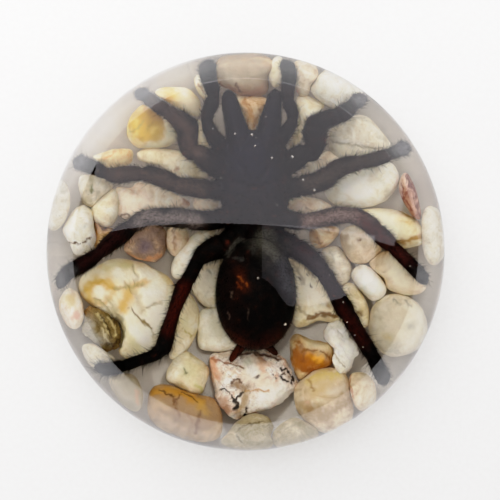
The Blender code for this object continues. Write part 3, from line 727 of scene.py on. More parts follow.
def with_veins(tree, place, finish, below):
    """Thin wandering veins over the colour below: the lines where a noise crosses its middle."""
    crease = add(
        tree, "ShaderNodeTexNoise",
        {"Vector": place, "Scale": 1.0 / CREASE_SIZE, "Detail": 7.0, "Roughness": 0.6, "Distortion": 1.8},
    )
    off_middle = add(tree, "ShaderNodeMath", {0: crease.outputs["Fac"], 1: 0.5}, operation="SUBTRACT")
    apart = add(tree, "ShaderNodeMath", {0: off_middle.outputs[0]}, operation="ABSOLUTE")
    vein = add(
        tree, "ShaderNodeMapRange",
        {"Value": apart.outputs[0], "From Min": 0.0, "From Max": VEIN_WIDTH,
         "To Min": finish.veins * VEIN_STRENGTH, "To Max": 0.0},
    )
    veined = add(
        tree, "ShaderNodeMix",
        {0: vein.outputs["Result"], MIX_A: below, MIX_B: linear(finish.vein)}, data_type="RGBA",
    )
    return veined.outputs[MIX_RESULT]


def with_specks(tree, place, finish, below):
    """Small dark grains over the colour below, here and there."""
    grains = add(tree, "ShaderNodeTexVoronoi", {"Vector": place, "Scale": 1.0 / SPECK_SIZE})
    dot = add(
        tree, "ShaderNodeMapRange",
        {"Value": grains.outputs["Distance"], "From Min": 0.10, "From Max": 0.24,
         "To Min": finish.specks, "To Max": 0.0},
    )
    where = add(tree, "ShaderNodeTexNoise", {"Vector": place, "Scale": 1.0 / SPECK_SPREAD, "Detail": 2.0})
    there = add(
        tree, "ShaderNodeMapRange",
        {"Value": where.outputs["Fac"], "From Min": 0.52, "From Max": 0.62, "To Min": 0.0, "To Max": 1.0},
    )
    speck = add(
        tree, "ShaderNodeMath", {0: dot.outputs["Result"], 1: there.outputs["Result"]}, operation="MULTIPLY"
    )
    specked = add(
        tree, "ShaderNodeMix",
        {0: speck.outputs[0], MIX_A: below, MIX_B: linear(finish.speck)}, data_type="RGBA",
    )
    return specked.outputs[MIX_RESULT]


def with_stains_and_painted_light(tree, place, below):
    """The painted marks over the colour below, stains and painted light and shade alike, with ragged, cloudy
    borders.
    """
    stain_and_painted_light = add(tree, "ShaderNodeAttribute", attribute_name=STAIN_AND_PAINTED_LIGHT, attribute_type="GEOMETRY")
    cloud = add(
        tree, "ShaderNodeTexNoise",
        {"Vector": place, "Scale": 1.0 / CLOUD_SIZE, "Detail": 6.0, "Roughness": 0.65, "Distortion": 0.4},
    )
    ragged = add(
        tree, "ShaderNodeMath", {0: cloud.outputs["Fac"], 1: STAIN_RAGGED, 2: -STAIN_RAGGED / 2},
        operation="MULTIPLY_ADD",
    )
    reach = add(tree, "ShaderNodeMath", {0: ragged.outputs[0], 1: stain_and_painted_light.outputs["Alpha"]})
    cover = add(
        tree, "ShaderNodeMapRange",
        {"Value": reach.outputs[0], "From Min": 0.12, "From Max": 0.95, "To Min": 0.0, "To Max": 0.92},
        interpolation_type="SMOOTHSTEP",
    )
    some = add(
        tree, "ShaderNodeMapRange",
        {"Value": stain_and_painted_light.outputs["Alpha"], "From Min": 0.0, "From Max": 0.15, "To Min": 0.0, "To Max": 1.0},
    )
    spread = add(
        tree, "ShaderNodeMath", {0: cover.outputs["Result"], 1: some.outputs["Result"]}, operation="MULTIPLY"
    )
    stained = add(
        tree, "ShaderNodeMix",
        {0: spread.outputs[0], MIX_A: below, MIX_B: stain_and_painted_light.outputs["Color"]}, data_type="RGBA",
    )
    return stained.outputs[MIX_RESULT]


def stone_material(finish):
    """A river pebble seen through resin, so with hardly any gloss: patches, veins, specks, and marks that are
    stains or painted light and shade.
    """
    material, tree = new_material(finish.rock)
    place = add(tree, "ShaderNodeTexCoord").outputs["Object"]
    colour = stone_ground(tree, place, finish)
    colour = with_veins(tree, place, finish, colour)
    colour = with_specks(tree, place, finish, colour)
    colour = with_stains_and_painted_light(tree, place, colour)
    grain = add(tree, "ShaderNodeTexNoise", {"Vector": place, "Scale": 1.0 / GRAIN_SIZE, "Detail": 6.0})
    bump = add(
        tree, "ShaderNodeBump", {"Height": grain.outputs["Fac"], "Strength": 0.6, "Distance": GRAIN_DEPTH}
    )
    shader = add(
        tree, "ShaderNodeBsdfPrincipled",
        {
            "Base Color": colour, "Roughness": 0.55, "Specular IOR Level": 0.15,
            "Subsurface Weight": finish.glow, "Subsurface Radius": (1.0, 0.85, 0.6),
            "Subsurface Scale": 1.1 * MM, "Normal": bump.outputs["Normal"],
        },
    )
    add(tree, "ShaderNodeOutputMaterial", {"Surface": shader.outputs[0]})
    return material


def pebble_tree():
    """Rounds a coarse stone and gives it lumps and pits along its own surface."""
    tree, given = new_tree(
        "worn_pebble", Rounding=int, Lump_Size=float, Lump_Depth=float, Pit_Size=float, Pit_Depth=float,
        Seed=float, Stone=bpy.types.Material,
    )
    rounded = add(
        tree, "GeometryNodeSubdivisionSurface", {"Mesh": given["Geometry"], "Level": given["Rounding"]}
    )
    shape = rounded.outputs[0]
    for size, depth, detail in (("Lump Size", "Lump Depth", 1.0), ("Pit Size", "Pit Depth", 4.0)):
        scale = add(tree, "ShaderNodeMath", {0: 1.0, 1: given[size]}, operation="DIVIDE")
        relief = add(
            tree, "ShaderNodeTexNoise",
            {"W": given["Seed"], "Scale": scale.outputs[0], "Detail": detail}, noise_dimensions="4D",
        )
        height = add(tree, "ShaderNodeMath", {0: relief.outputs[0], 1: 0.5}, operation="SUBTRACT")
        lift = add(tree, "ShaderNodeMath", {0: height.outputs[0], 1: given[depth]}, operation="MULTIPLY")
        out = add(tree, "GeometryNodeInputNormal")
        push = add(
            tree, "ShaderNodeVectorMath", {0: out.outputs[0], "Scale": lift.outputs[0]}, operation="SCALE"
        )
        moved = add(tree, "GeometryNodeSetPosition", {"Geometry": shape, "Offset": push.outputs[0]})
        shape = moved.outputs[0]
    smooth = add(tree, "GeometryNodeSetShadeSmooth", {"Geometry": shape})
    real = add(tree, "GeometryNodeRealizeInstances", {"Geometry": smooth.outputs[0]})
    made = add(tree, "GeometryNodeSetMaterial", {"Geometry": real.outputs[0], "Material": given["Stone"]})
    add(tree, "NodeGroupOutput", {"Geometry": made.outputs[0]})
    return tree


# The lumps' width and depth and the pits' width and depth, in millimetres. Those named are rougher than a
# tumbled pebble, and have finer faces.
SMOOTH_RELIEF = (3.0, 0.45, 1.0, 0.18)
RELIEF = {
    "rough_rock": (3.6, 1.9, 1.1, 0.9),
    "yellow_stone_1": (3.0, 0.6, 1.0, 0.25),
    "brown_stone_2": (1.7, 1.5, 0.6, 1.0),
    "white_stone_3": (1.9, 1.7, 0.8, 0.5),
    "cream_stone_5": (2.6, 0.7, 0.9, 0.35),
    "brown_stone_3": (3.0, 0.6, 0.9, 0.3),
    "brown_stone_4": (2.6, 0.7, 0.9, 0.3),
    "orange_stone_1": (2.6, 0.7, 0.9, 0.3),
    "yellow_stone_3": (5.0, 1.2, 1.2, 0.14),
    "cream_stone_4": (2.6, 0.6, 0.9, 0.25),
    "mottled_stone_1": (2.4, 0.7, 0.8, 0.3),
}
STONE_FULLNESS = 1.08  # makes up for what the rounding takes off the corners
MARK_DEPTH = 0.8 * MM  # below a stone's top, the level that its marks are placed at
COARSE_ROUNDING, TRACED_ROUNDING, ROUGH_ROUNDING = 4, 1, 2  # how often the faces are divided
OUTLINE_STEPS, PROFILE_STEPS = 72, 20
PEBBLE_FULLNESS, PEBBLE_FLATNESS = 0.72, 0.9  # below 1 is fuller at the rim and flatter on top

# The outlines of the pebbles that aren't plain ovals, in photograph pixels.
OUTLINES = {
    "yellow_stone_1": (
        (127, 131), (129, 122), (134, 112), (141, 106), (149, 106), (160, 112), (171, 120), (177, 131),
        (176, 141), (166, 147), (151, 148), (138, 148), (130, 140),
    ),
    "yellow_stone_2": (
        (155, 93), (163, 89), (175, 88), (187, 89), (196, 95), (201, 104), (200, 115), (192, 115),
        (180, 109), (166, 101),
    ),
    "amber_stone_1": (
        (93, 157), (101, 154), (112, 150), (124, 149), (132, 150), (133, 157), (129, 164), (118, 167),
        (105, 167), (98, 162),
    ),
    "cream_stone_1": (
        (138, 152), (150, 148), (165, 149), (182, 151), (192, 157), (199, 166), (208, 174), (204, 179),
        (190, 179), (177, 177), (168, 171), (160, 165), (148, 163), (138, 159),
    ),
    "grey_stone_1": (
        (82, 176), (94, 175), (107, 179), (113, 186), (106, 193), (98, 199), (92, 206), (85, 204),
        (80, 193), (79, 184),
    ),
    "cream_stone_2": (
        (113, 188), (105, 193), (98, 199), (92, 206), (91, 215), (96, 223), (104, 228), (111, 226),
        (117, 218), (119, 208), (119, 196),
    ),
    "pink_stone_1": (
        (118, 187), (131, 188), (138, 182), (152, 183), (165, 187), (176, 195), (188, 200), (189, 207),
        (172, 210), (150, 210), (139, 214), (129, 219), (119, 217), (115, 206), (114, 195),
    ),
    "white_stone_1": (
        (82, 205), (88, 207), (92, 213), (94, 225), (96, 238), (92, 248), (83, 255), (75, 254), (71, 246),
        (66, 237), (64, 229), (69, 218), (74, 210),
    ),
    "brown_stone_1": (
        (95, 222), (102, 227), (112, 228), (116, 233), (110, 240), (103, 248), (97, 251), (94, 243),
        (94, 232),
    ),
    "mottled_stone_1": (
        (147, 223), (158, 224), (166, 230), (167, 241), (165, 252), (157, 262), (145, 261), (134, 258),
        (124, 251), (124, 244), (131, 236), (140, 230),
    ),
    "pink_stone_2": (
        (168, 228), (178, 226), (187, 230), (189, 240), (184, 249), (176, 256), (169, 252), (165, 241),
    ),
    "white_stone_2": (
        (213, 229), (203, 229), (193, 235), (184, 244), (176, 255), (171, 266), (172, 276), (181, 279),
        (190, 270), (197, 258), (206, 246), (215, 236),
    ),
    "yellow_stone_3": (
        (110, 260), (126, 259), (142, 262), (156, 269), (170, 279), (176, 292), (174, 306), (171, 322),
        (165, 338), (157, 350), (142, 356), (126, 358), (118, 350), (120, 336), (117, 324), (106, 316),
        (94, 308), (83, 298), (79, 287), (82, 276), (93, 268),
    ),
    "brown_stone_2": (
        (92, 307), (103, 311), (114, 320), (120, 330), (119, 342), (113, 350), (104, 349), (93, 341),
        (84, 331), (83, 319), (86, 310),
    ),
    "pink_stone_3": (
        (67, 289), (75, 291), (80, 299), (83, 310), (82, 323), (76, 329), (69, 325), (64, 314), (61, 301),
    ),
    "cream_stone_3": (
        (187, 292), (194, 298), (199, 309), (199, 322), (195, 337), (188, 350), (179, 359), (170, 358),
        (170, 345), (175, 330), (179, 312), (181, 299),
    ),
    "grey_stone_4": (
        (202, 266), (212, 260), (223, 258), (224, 272), (221, 290), (219, 305), (211, 309), (202, 305),
        (195, 296), (191, 287), (196, 276),
    ),
    "milky_stone_1": (
        (201, 311), (210, 307), (220, 309), (228, 320), (234, 335), (238, 347), (228, 351), (212, 351),
        (200, 348), (197, 337), (198, 322),
    ),
    "cream_stone_4": (
        (178, 354), (187, 351), (196, 357), (206, 365), (209, 372), (206, 384), (202, 393), (192, 394),
        (180, 388), (168, 382), (166, 374), (171, 363),
    ),
    "brown_stone_3": (
        (150, 392), (156, 386), (170, 385), (186, 391), (201, 395), (214, 399), (221, 410), (223, 424),
        (219, 437), (203, 440), (184, 436), (165, 428), (152, 419), (147, 406),
    ),
    "rough_rock": (
        (208, 361), (213, 354), (226, 352), (242, 351), (258, 350), (273, 352), (284, 357), (291, 366),
        (296, 378), (296, 386), (288, 396), (277, 406), (262, 411), (246, 416), (234, 418), (223, 411),
        (217, 400), (214, 387), (210, 373),
    ),
    "beige_stone_2": (
        (294, 394), (297, 384), (306, 376), (316, 369), (330, 367), (343, 371), (349, 381), (351, 395),
        (353, 410), (347, 424), (333, 431), (318, 430), (305, 421), (296, 408),
    ),
    "beige_stone_3": (
        (350, 376), (358, 372), (367, 374), (374, 382), (375, 393), (369, 404), (359, 409), (353, 402),
        (350, 390),
    ),
    "orange_stone_1": (
        (290, 339), (296, 333), (304, 336), (315, 341), (328, 343), (334, 352), (332, 363), (322, 370),
        (310, 374), (301, 379), (295, 374), (291, 362), (290, 348),
    ),
    "white_stone_3": (
        (324, 329), (328, 322), (336, 320), (342, 323), (346, 330), (350, 338), (356, 345), (358, 354),
        (354, 361), (350, 370), (342, 375), (335, 370), (333, 361), (335, 351), (330, 344), (325, 337),
    ),
    "cream_stone_5": (
        (286, 258), (298, 262), (312, 272), (324, 282), (333, 295), (338, 308), (344, 319), (334, 322),
        (318, 321), (304, 327), (295, 326), (290, 314), (287, 296), (283, 276),
    ),
    "cream_stone_6": (
        (343, 286), (352, 283), (360, 291), (366, 301), (369, 312), (368, 325), (360, 327), (351, 316),
        (344, 302),
    ),
    "white_stone_4": (
        (360, 265), (369, 267), (378, 275), (385, 284), (386, 292), (380, 299), (371, 300), (361, 291),
        (353, 281), (351, 272),
    ),
    "beige_stone_4": (
        (374, 257), (386, 251), (399, 256), (412, 266), (424, 278), (425, 289), (414, 295), (399, 294),
        (388, 289), (384, 279), (373, 270), (369, 263),
    ),
    "beige_stone_5": (
        (341, 232), (351, 225), (363, 227), (374, 234), (383, 246), (377, 256), (367, 263), (356, 264),
        (347, 258), (341, 245),
    ),
    "yellow_stone_4": (
        (360, 210), (374, 208), (390, 209), (405, 213), (417, 221), (423, 233), (423, 243), (412, 247),
        (400, 248), (386, 240), (372, 228), (362, 219),
    ),
    "red_stone_1": (
        (405, 173), (411, 181), (416, 193), (419, 207), (420, 219), (414, 217), (406, 205), (400, 192),
        (400, 180),
    ),
    "grey_stone_6": (
        (372, 308), (380, 299), (391, 294), (404, 295), (417, 303), (424, 315), (425, 331), (418, 346),
        (404, 355), (389, 356), (377, 348), (370, 334), (369, 320),
    ),
    "orange_stone_3": (
        (311, 229), (322, 226), (335, 226), (340, 231), (334, 240), (325, 247), (316, 248), (310, 240),
    ),
    "grey_stone_5": (
        (327, 247), (338, 247), (346, 256), (352, 268), (350, 279), (342, 285), (334, 277), (328, 265),
        (321, 252),
    ),
    "banded_stone_1": (
        (221, 442), (227, 434), (235, 424), (245, 416), (256, 414), (268, 417), (274, 426), (271, 436),
        (273, 443), (260, 447), (240, 447),
    ),
    "banded_stone_2": (
        (275, 430), (284, 422), (295, 418), (305, 422), (318, 431), (313, 439), (300, 444), (285, 447),
        (273, 443), (272, 436),
    ),
    "milky_stone_2": (
        (324, 191), (337, 180), (350, 173), (370, 167), (388, 162), (397, 171), (399, 182), (394, 192),
        (385, 201), (370, 207), (350, 208), (333, 203),
    ),
    "milky_stone_3": (
        (311, 90), (314, 81), (322, 73), (334, 70), (346, 75), (357, 83), (364, 91), (355, 100), (344, 108),
        (332, 108), (320, 101),
    ),
    "cream_stone_7": (
        (296, 98), (304, 95), (314, 99), (324, 106), (316, 114), (309, 121), (305, 131), (299, 143),
        (293, 149), (289, 142), (294, 128), (299, 116), (298, 107),
    ),
    "grey_stone_8": (
        (331, 128), (342, 122), (355, 115), (368, 118), (380, 130), (391, 146), (386, 156), (368, 160),
        (348, 161), (333, 156), (328, 143),
    ),
    "brown_stone_4": (
        (215, 68), (222, 60), (238, 58), (256, 57), (270, 60), (274, 66), (268, 76), (268, 90), (259, 96),
        (242, 95), (229, 89), (218, 82),
    ),
    "orange_stone_2": (
        (235, 98), (243, 95), (256, 95), (267, 99), (265, 108), (260, 118), (256, 129), (252, 136),
        (247, 128), (243, 115),
    ),
    "cream_stone_9": (
        (195, 118), (203, 123), (211, 136), (220, 149), (224, 160), (214, 159), (205, 153), (198, 143),
        (196, 130),
    ),
    "beige_stone_1": (
        (110, 379), (122, 374), (133, 375), (140, 385), (143, 397), (140, 410), (129, 406), (118, 395),
    ),
    "grey_stone_3": (
        (82, 346), (92, 344), (104, 351), (114, 358), (112, 366), (99, 369), (88, 360),
    ),
    "beige_stone_6": (
        (293, 66), (302, 61), (313, 66), (318, 75), (312, 84), (308, 94), (300, 95), (295, 85),
    ),
    "pink_stone_4": (
        (284, 202), (296, 197), (310, 197), (324, 201), (332, 208), (322, 215), (306, 214), (291, 210),
    ),
    "pink_stone_6": (
        (300, 170), (306, 162), (316, 155), (330, 151), (340, 156), (336, 165), (324, 171), (310, 177),
    ),
}

# The marks that tell one stone from another, in the order that they are laid. Some are painted light or
# painted shade, as noted beside them.
MARKS = {
    "yellow_stone_1": (
        Mark("#fdf5d8", (154, 130), 50, 0.9),
        Mark("#c89f0e", ((139, 128), (150, 124)), 27, 0.98, 0.0, 8.0),
        Mark("#eedd90", ((133, 140), (138, 131), (136, 121)), 2.4, 0.7),
        Mark("#a98a14", ((142, 140), (146, 130), (153, 121)), 2.0, 0.7, 0.1),
        Mark("#e6cf70", ((150, 132), (157, 126)), 3.0, 0.6),
        Mark("#e3bd40", ((134, 124), (141, 130), (144, 138)), 9, 0.75),
        Mark("#b8891c", ((150, 113), (158, 118)), 9, 0.85),
        Mark("#eedda0", ((128, 126), (131, 138), (138, 144)), 3.0, 0.7),
        Mark("#a9a04a", ((131, 133), (138, 128), (143, 121)), 1.8, 0.6),
    ),
    "yellow_stone_2": (
        Mark("#ecca72", (168, 96), 15, 0.9),
        Mark("#dba23c", (168, 98), 5, 0.8),
        Mark("#efe2c0", (193, 104), 13, 0.9),
    ),
    "amber_stone_1": (
        Mark("#e2b071", (129, 156), 5, 0.8),
        Mark("#dc9a55", ((103, 158), (116, 152)), 2.5, 0.6),
    ),
    "cream_stone_1": (
        Mark("#a97c4c", (177, 169), 4, 0.8),
    ),
    "grey_stone_1": (
        Mark("#7d8157", ((91, 186), (92, 193)), 2.4, 0.7),
    ),
    "pink_stone_1": (
        Mark("#e2ad86", ((118, 186), (132, 187)), 4.5, 0.8),
        Mark("#b08264", ((184, 201), (206, 205)), 6, 0.85),
        Mark("#7b5a44", ((118, 202), (119, 204)), 1.6, 0.9, 0.05),
        Mark("#7b5a44", ((121, 217), (126, 213), (129, 216)), 1.6, 0.9, 0.1),
        Mark("#faf2e0", ((122, 200), (145, 202)), 12, 0.6),
        Mark("#cbb094", ((150, 186), (152, 196)), 3.5, 0.5),
    ),
    "white_stone_1": (
        Mark("#6f5434", ((72, 243), (80, 244), (90, 238)), 1.6, 0.9, 0.12),
        Mark("#9c9a86", (84, 226), 5, 0.45),
    ),
    "brown_stone_1": (
        Mark("#5c3a22", (105, 229), 4, 0.9),
    ),
    "mottled_stone_1": (
        Mark("#8a7b82", (145, 246), 12, 0.85),
        Mark("#d6a077", ((128, 256), (143, 261), (160, 256)), 4.5, 0.7),
    ),
    "pink_stone_2": (
        Mark("#a8846e", ((173, 230), (175, 250)), 3, 0.6),
    ),
    "yellow_stone_3": (
        Mark("#f8f3e2", (128, 300), 60, 0.9),
        # painted light: a near-white band that lightens the part of the stone in the hind leg's shadow
        Mark("#fffbee", ((146, 290), (158, 312), (146, 335)), 22, 0.9),
        Mark("#dcb850", ((90, 298), (89, 288), (96, 281), (108, 283), (114, 290)), 8, 0.7),
        Mark("#d8aa30", ((88, 290), (93, 283), (104, 282), (110, 287)), 4, 0.7),
        Mark("#dfb964", ((92, 302), (104, 303), (112, 295)), 5, 0.6),
        Mark("#fffaea", (100, 291), 8, 0.55),
        Mark("#deb440", ((122, 308), (126, 300), (130, 288)), 8, 0.8),
        Mark("#dcb456", ((134, 286), (147, 282)), 5, 0.7),
        Mark("#dcd07e", ((108, 268), (130, 264)), 7, 0.5),
        Mark("#dcd48c", ((122, 325), (128, 338), (140, 352)), 9, 0.4),
        # The six grey-olive lines below are painted shade in the creases between lumps, over shallow real
        # grooves.
        Mark("#c9bc90", ((110, 300), (116, 316), (122, 332), (120, 346)), 5, 0.7, 0.5),
        Mark("#cfc39a", ((126, 282), (138, 296), (142, 312)), 4, 0.6, 0.4),
        Mark("#b3a272", ((114, 289), (128, 287), (142, 284)), 2.2, 0.7, 0.3),
        Mark("#b9ac84", ((96, 300), (104, 306), (112, 316)), 2.4, 0.7, 0.4),
        Mark("#c3b78e", ((142, 312), (151, 306), (162, 303)), 1.8, 0.6, 0.35),
        Mark("#c3b78e", ((134, 266), (138, 276), (134, 286)), 2.2, 0.5, 0.3),
        # The three near-white marks below are painted highlights on the stone's lumps.
        Mark("#fffdf4", ((150, 292), (160, 294)), 7, 0.8),
        Mark("#fffdf4", ((134, 330), (142, 338)), 8, 0.8),
        Mark("#fffdf4", (118, 270), 8, 0.6),
        Mark("#8f7a4a", ((130, 308), (139, 319), (152, 328)), 1.5, 0.95, 0.25),
        Mark("#8a6636", ((86, 303), (95, 309), (104, 316)), 2.4, 0.7, 0.25),
        Mark("#b9a578", ((152, 328), (155, 340)), 1.6, 0.5, 0.1),
    ),
    "cream_stone_3": (
        Mark("#eadfae", (186, 322), 26, 0.6),
        Mark("#b9a33e", ((182, 329), (191, 336)), 1.6, 0.7),
    ),
    "brown_stone_2": (
        Mark("#8c7a4c", (104, 328), 34, 0.95, 0.0, 4.0),
        Mark("#dccf9e", ((97, 314), (104, 322), (107, 333)), 2.0, 0.85),
        Mark("#dccf9e", ((108, 318), (114, 326), (116, 336)), 1.8, 0.8),
        Mark("#e4dab4", ((102, 330), (106, 340), (111, 345)), 1.8, 0.8),
        Mark("#3a2c18", ((100, 316), (108, 326), (111, 337)), 1.5, 0.85, 0.2),
        Mark("#3a2c18", ((112, 316), (118, 326)), 1.5, 0.8, 0.2),
        Mark("#4a3820", ((106, 343), (114, 346), (118, 340)), 2.4, 0.85, 0.2),
        Mark("#b9b5ab", ((86, 318), (90, 330), (99, 343)), 9, 0.9),
    ),
    "pink_stone_3": (
        Mark("#dcc480", (70, 299), 10, 0.85),
        Mark("#dcae96", (76, 316), 9, 0.8),
    ),
    "beige_stone_1": (
        # partly the stone's own greyer beige, partly painted shade between it and its neighbours
        Mark("#b3a892", (127, 392), 60, 0.95),
        Mark("#cda386", ((136, 392), (137, 402)), 3, 0.6),
    ),
    "cream_stone_4": (
        Mark("#dcd5a8", (188, 372), 22, 0.8),
        Mark("#6c6f4c", ((184, 370), (187, 374)), 1.8, 0.85, 0.06),
        Mark("#c8c074", ((196, 385), (203, 390)), 4, 0.6),
    ),
    "brown_stone_3": (
        Mark("#b79c7e", ((160, 402), (185, 410), (205, 418)), 30, 0.9),
        Mark("#cf9a34", ((154, 392), (170, 390), (184, 395), (200, 402)), 7, 0.8),
        Mark("#cfaa5e", ((200, 405), (206, 414)), 7, 0.6),
        Mark("#5c3a1c", ((160, 389), (167, 394), (173, 397)), 1.2, 0.9, 0.1),
        Mark("#5c3a1c", ((182, 392), (188, 394), (193, 399), (198, 403)), 1.2, 0.9, 0.1),
        Mark("#6b4422", ((180, 395), (178, 398), (174, 403)), 1.1, 0.85, 0.1),
        Mark("#8a6238", ((174, 396), (173, 405)), 1.6, 0.8, 0.08),
        Mark("#a0866e", ((166, 414), (190, 426), (205, 428)), 14, 0.75),
        Mark("#cdb597", ((164, 419), (172, 424)), 6, 0.7),
        Mark("#cdb597", (184, 431), 6, 0.7),
        Mark("#d2b892", (207, 433), 6, 0.7),
        Mark("#cdb48e", ((158, 404), (166, 408)), 6, 0.6),
        Mark("#8c6a52", ((176, 402), (175, 410), (180, 416)), 1.6, 0.7),
        Mark("#9c7c64", ((186, 414), (192, 421), (190, 430)), 1.6, 0.6),
        Mark("#7c5a44", ((200, 411), (198, 419), (196, 431)), 2.2, 0.7, 0.06),
    ),
    "rough_rock": (
        Mark("#f6ead8", ((250, 366), (262, 384), (276, 394)), 17, 0.8),
        Mark("#fdfbf6", ((262, 398), (282, 392)), 14, 0.85),
        Mark("#fffefa", ((252, 369), (256, 372)), 8, 0.8),
        Mark("#c9ccb8", (247, 363), 6, 0.6),
        Mark("#eab896", ((212, 362), (216, 376)), 8, 0.8),
        Mark("#b06c4a", ((214, 358), (220, 361)), 2.6, 0.75),
        Mark("#efc6a4", ((260, 364), (264, 372)), 4.5, 0.6),
        Mark("#a08468", ((234, 384), (240, 386), (245, 389)), 6, 0.85, 0.3),
        Mark("#6e5038", ((231, 382), (237, 380), (243, 384)), 1.6, 0.9, 0.25, 4.0),
        Mark("#b59a72", ((246, 396), (244, 404), (239, 411)), 7, 0.75),
        Mark("#c9a084", ((221, 398), (228, 408)), 8, 0.75),
        Mark("#1a1010", ((220, 389), (225, 390), (229, 393), (232, 397), (235, 401)), 1.15, 1.0, 0.3, 4.0),
        Mark("#1a1010", ((235, 402), (238, 405), (234, 409)), 3.0, 1.0, 0.5, 4.0),
        Mark("#2a1c18", ((235, 400), (239, 396), (245, 392)), 1.3, 0.95, 0.25, 4.0),
        Mark("#3c2a20", ((248, 407), (244, 415)), 1.4, 0.9, 0.2, 4.0),
        Mark("#6c4434", ((280, 366), (287, 374), (292, 382)), 5.0, 0.45),
        Mark("#24161a", ((282, 369), (286, 368), (289, 371)), 1.8, 1.0, 0.25, 4.0),
        Mark("#24161a", ((281, 377), (284, 380), (287, 381)), 2.0, 1.0, 0.25, 4.0),
        Mark("#24161a", ((291, 373), (293, 377), (292, 382)), 1.7, 1.0, 0.25, 4.0),
        Mark("#4a2c22", ((285, 373), (281, 374)), 1.5, 0.95, 0.2, 4.0),
        Mark("#4a2c22", (276, 378), 1.5, 0.95, 0.15, 4.0),
        Mark("#4a2c22", (273, 375), 1.5, 0.95, 0.15, 4.0),
        Mark("#4a2c22", (257, 377), 1.7, 0.95, 0.15, 4.0),
        Mark("#c08c40", ((246, 392), (256, 390), (268, 391)), 1.3, 0.7, 0.1, 4.0),
        Mark("#94623e", ((222, 361), (232, 364), (242, 367)), 1.3, 0.75, 0.35, 4.0),
        Mark("#5c3a28", ((238, 354), (252, 352), (266, 354), (280, 358)), 3.0, 0.85, 0.25),
        Mark("#a87a58", ((258, 358), (266, 362)), 4, 0.6),
    ),
    "milky_stone_1": (
        Mark("#ddd7c0", (217, 327), 22, 0.8),
    ),
    "grey_stone_4": (
        # painted light: lightens the stone where the spider's body shades it
        Mark("#efe9d8", (206, 284), 22, 0.75),
        Mark("#d8c77c", (214, 301), 4, 0.5),
        Mark("#8c8872", ((208, 270), (211, 274)), 2, 0.6),
    ),
    "grey_stone_8": (
        Mark("#b8b09a", ((330, 142), (350, 145), (372, 149), (386, 149)), 2.0, 0.7, 0.35),
        Mark("#eee6cc", ((340, 150), (366, 154)), 8, 0.7),
    ),
    "banded_stone_1": (
        Mark("#77694a", ((236, 434), (240, 428), (247, 425), (256, 424), (264, 422)), 1.5, 0.85),
        Mark("#77694a", ((236, 434), (238, 438), (242, 441)), 1.5, 0.85),
        Mark("#8a7f60", ((262, 427), (270, 425), (276, 424)), 1.4, 0.8),
        Mark("#8f8256", ((244, 436), (254, 431), (264, 436)), 1.6, 0.7),
    ),
    "banded_stone_2": (
        Mark("#9a8f74", ((284, 432), (296, 424), (312, 428)), 1.4, 0.6),
    ),
    "beige_stone_2": (
        Mark("#dfc99a", (322, 388), 26, 0.8),
        Mark("#ad9068", ((310, 410), (328, 416), (344, 404)), 15, 0.85),
        Mark("#e8d486", ((308, 380), (322, 373), (337, 375)), 6, 0.75),
        Mark("#b98c5c", ((309, 379), (312, 385), (314, 391)), 1.6, 0.8, 0.1),
        Mark("#efe6d6", ((331, 393), (346, 386)), 6, 0.7),
        Mark("#e2bda6", (307, 403), 4.5, 0.6),
    ),
    "beige_stone_3": (
        Mark("#c98a5c", ((351, 374), (350, 384), (353, 396)), 1.8, 0.75),
    ),
    "orange_stone_1": (
        Mark("#b06a00", ((302, 356), (312, 356), (321, 360)), 21, 0.98, 0.0, 4.0),
        Mark("#a8641a", ((296, 350), (300, 366), (308, 372)), 5, 0.75),
        # painted highlight: a bright yellow glint on the amber
        Mark("#f2b428", ((316, 357), (322, 359)), 5, 0.9),
        Mark("#e09a20", (307, 353), 5, 0.7),
        Mark("#8a4c12", ((300, 342), (304, 352), (303, 362)), 3.0, 0.75),
        Mark("#9c5a14", ((302, 369), (312, 370)), 4.5, 0.8),
        Mark("#e6d9b8", ((312, 344), (328, 348)), 10, 0.9),
        Mark("#8a5a24", ((302, 352), (308, 349), (316, 351)), 1.8, 0.75, 0.1),
        Mark("#7d4a1c", ((322, 351), (330, 358)), 1.8, 0.7, 0.15),
    ),
    "white_stone_3": (
        # painted light: near-white over the whole stone, lifting it out of the hind leg's shadow
        Mark("#fffdf6", (340, 344), 60, 0.95),
        Mark("#a99c80", ((333, 352), (338, 360), (344, 366)), 1.5, 0.6, 0.15),
        Mark("#a99c80", ((338, 330), (342, 336)), 1.4, 0.5, 0.1),
    ),
    "cream_stone_5": (
        Mark("#fff8e6", ((304, 282), (318, 300)), 17, 0.85),
        Mark("#9a8b6c", ((292, 262), (299, 272), (304, 284)), 3.4, 0.6),
        Mark("#7c6a4c", ((306, 268), (315, 277)), 1.8, 0.6, 0.1),
        Mark("#6a5a40", ((298, 277), (300, 279)), 1.3, 0.85, 0.1),
        Mark("#6a5a40", ((307, 274), (309, 276)), 1.2, 0.85, 0.1),
        Mark("#6a5a40", (296, 287), 1.4, 0.8),
        Mark("#6a5a40", ((310, 284), (311, 287)), 1.2, 0.8, 0.1),
        Mark("#6a5a40", (317, 281), 1.2, 0.8),
        Mark("#b09c74", ((298, 305), (302, 312), (310, 316)), 2.6, 0.6),
        Mark("#8a663a", ((308, 320), (320, 314), (336, 316)), 3.6, 0.9, 0.1),
        Mark("#b08c58", (328, 306), 4.5, 0.7),
    ),
    "grey_stone_5": (
        Mark("#a49a80", ((330, 252), (334, 262)), 4, 0.5),
    ),
    "white_stone_4": (
        Mark("#fbfaf4", (368, 282), 26, 0.95),
    ),
    "cream_stone_6": (
        Mark("#8e7350", (361, 314), 4.5, 0.8),
        Mark("#a49268", ((348, 288), (352, 296)), 3, 0.5),
    ),
    "grey_stone_6": (
        Mark("#e2d9c4", (398, 322), 60, 0.75),
        Mark("#dcc794", (388, 338), 6, 0.7),
        Mark("#a8a594", (411, 326), 6, 0.6),
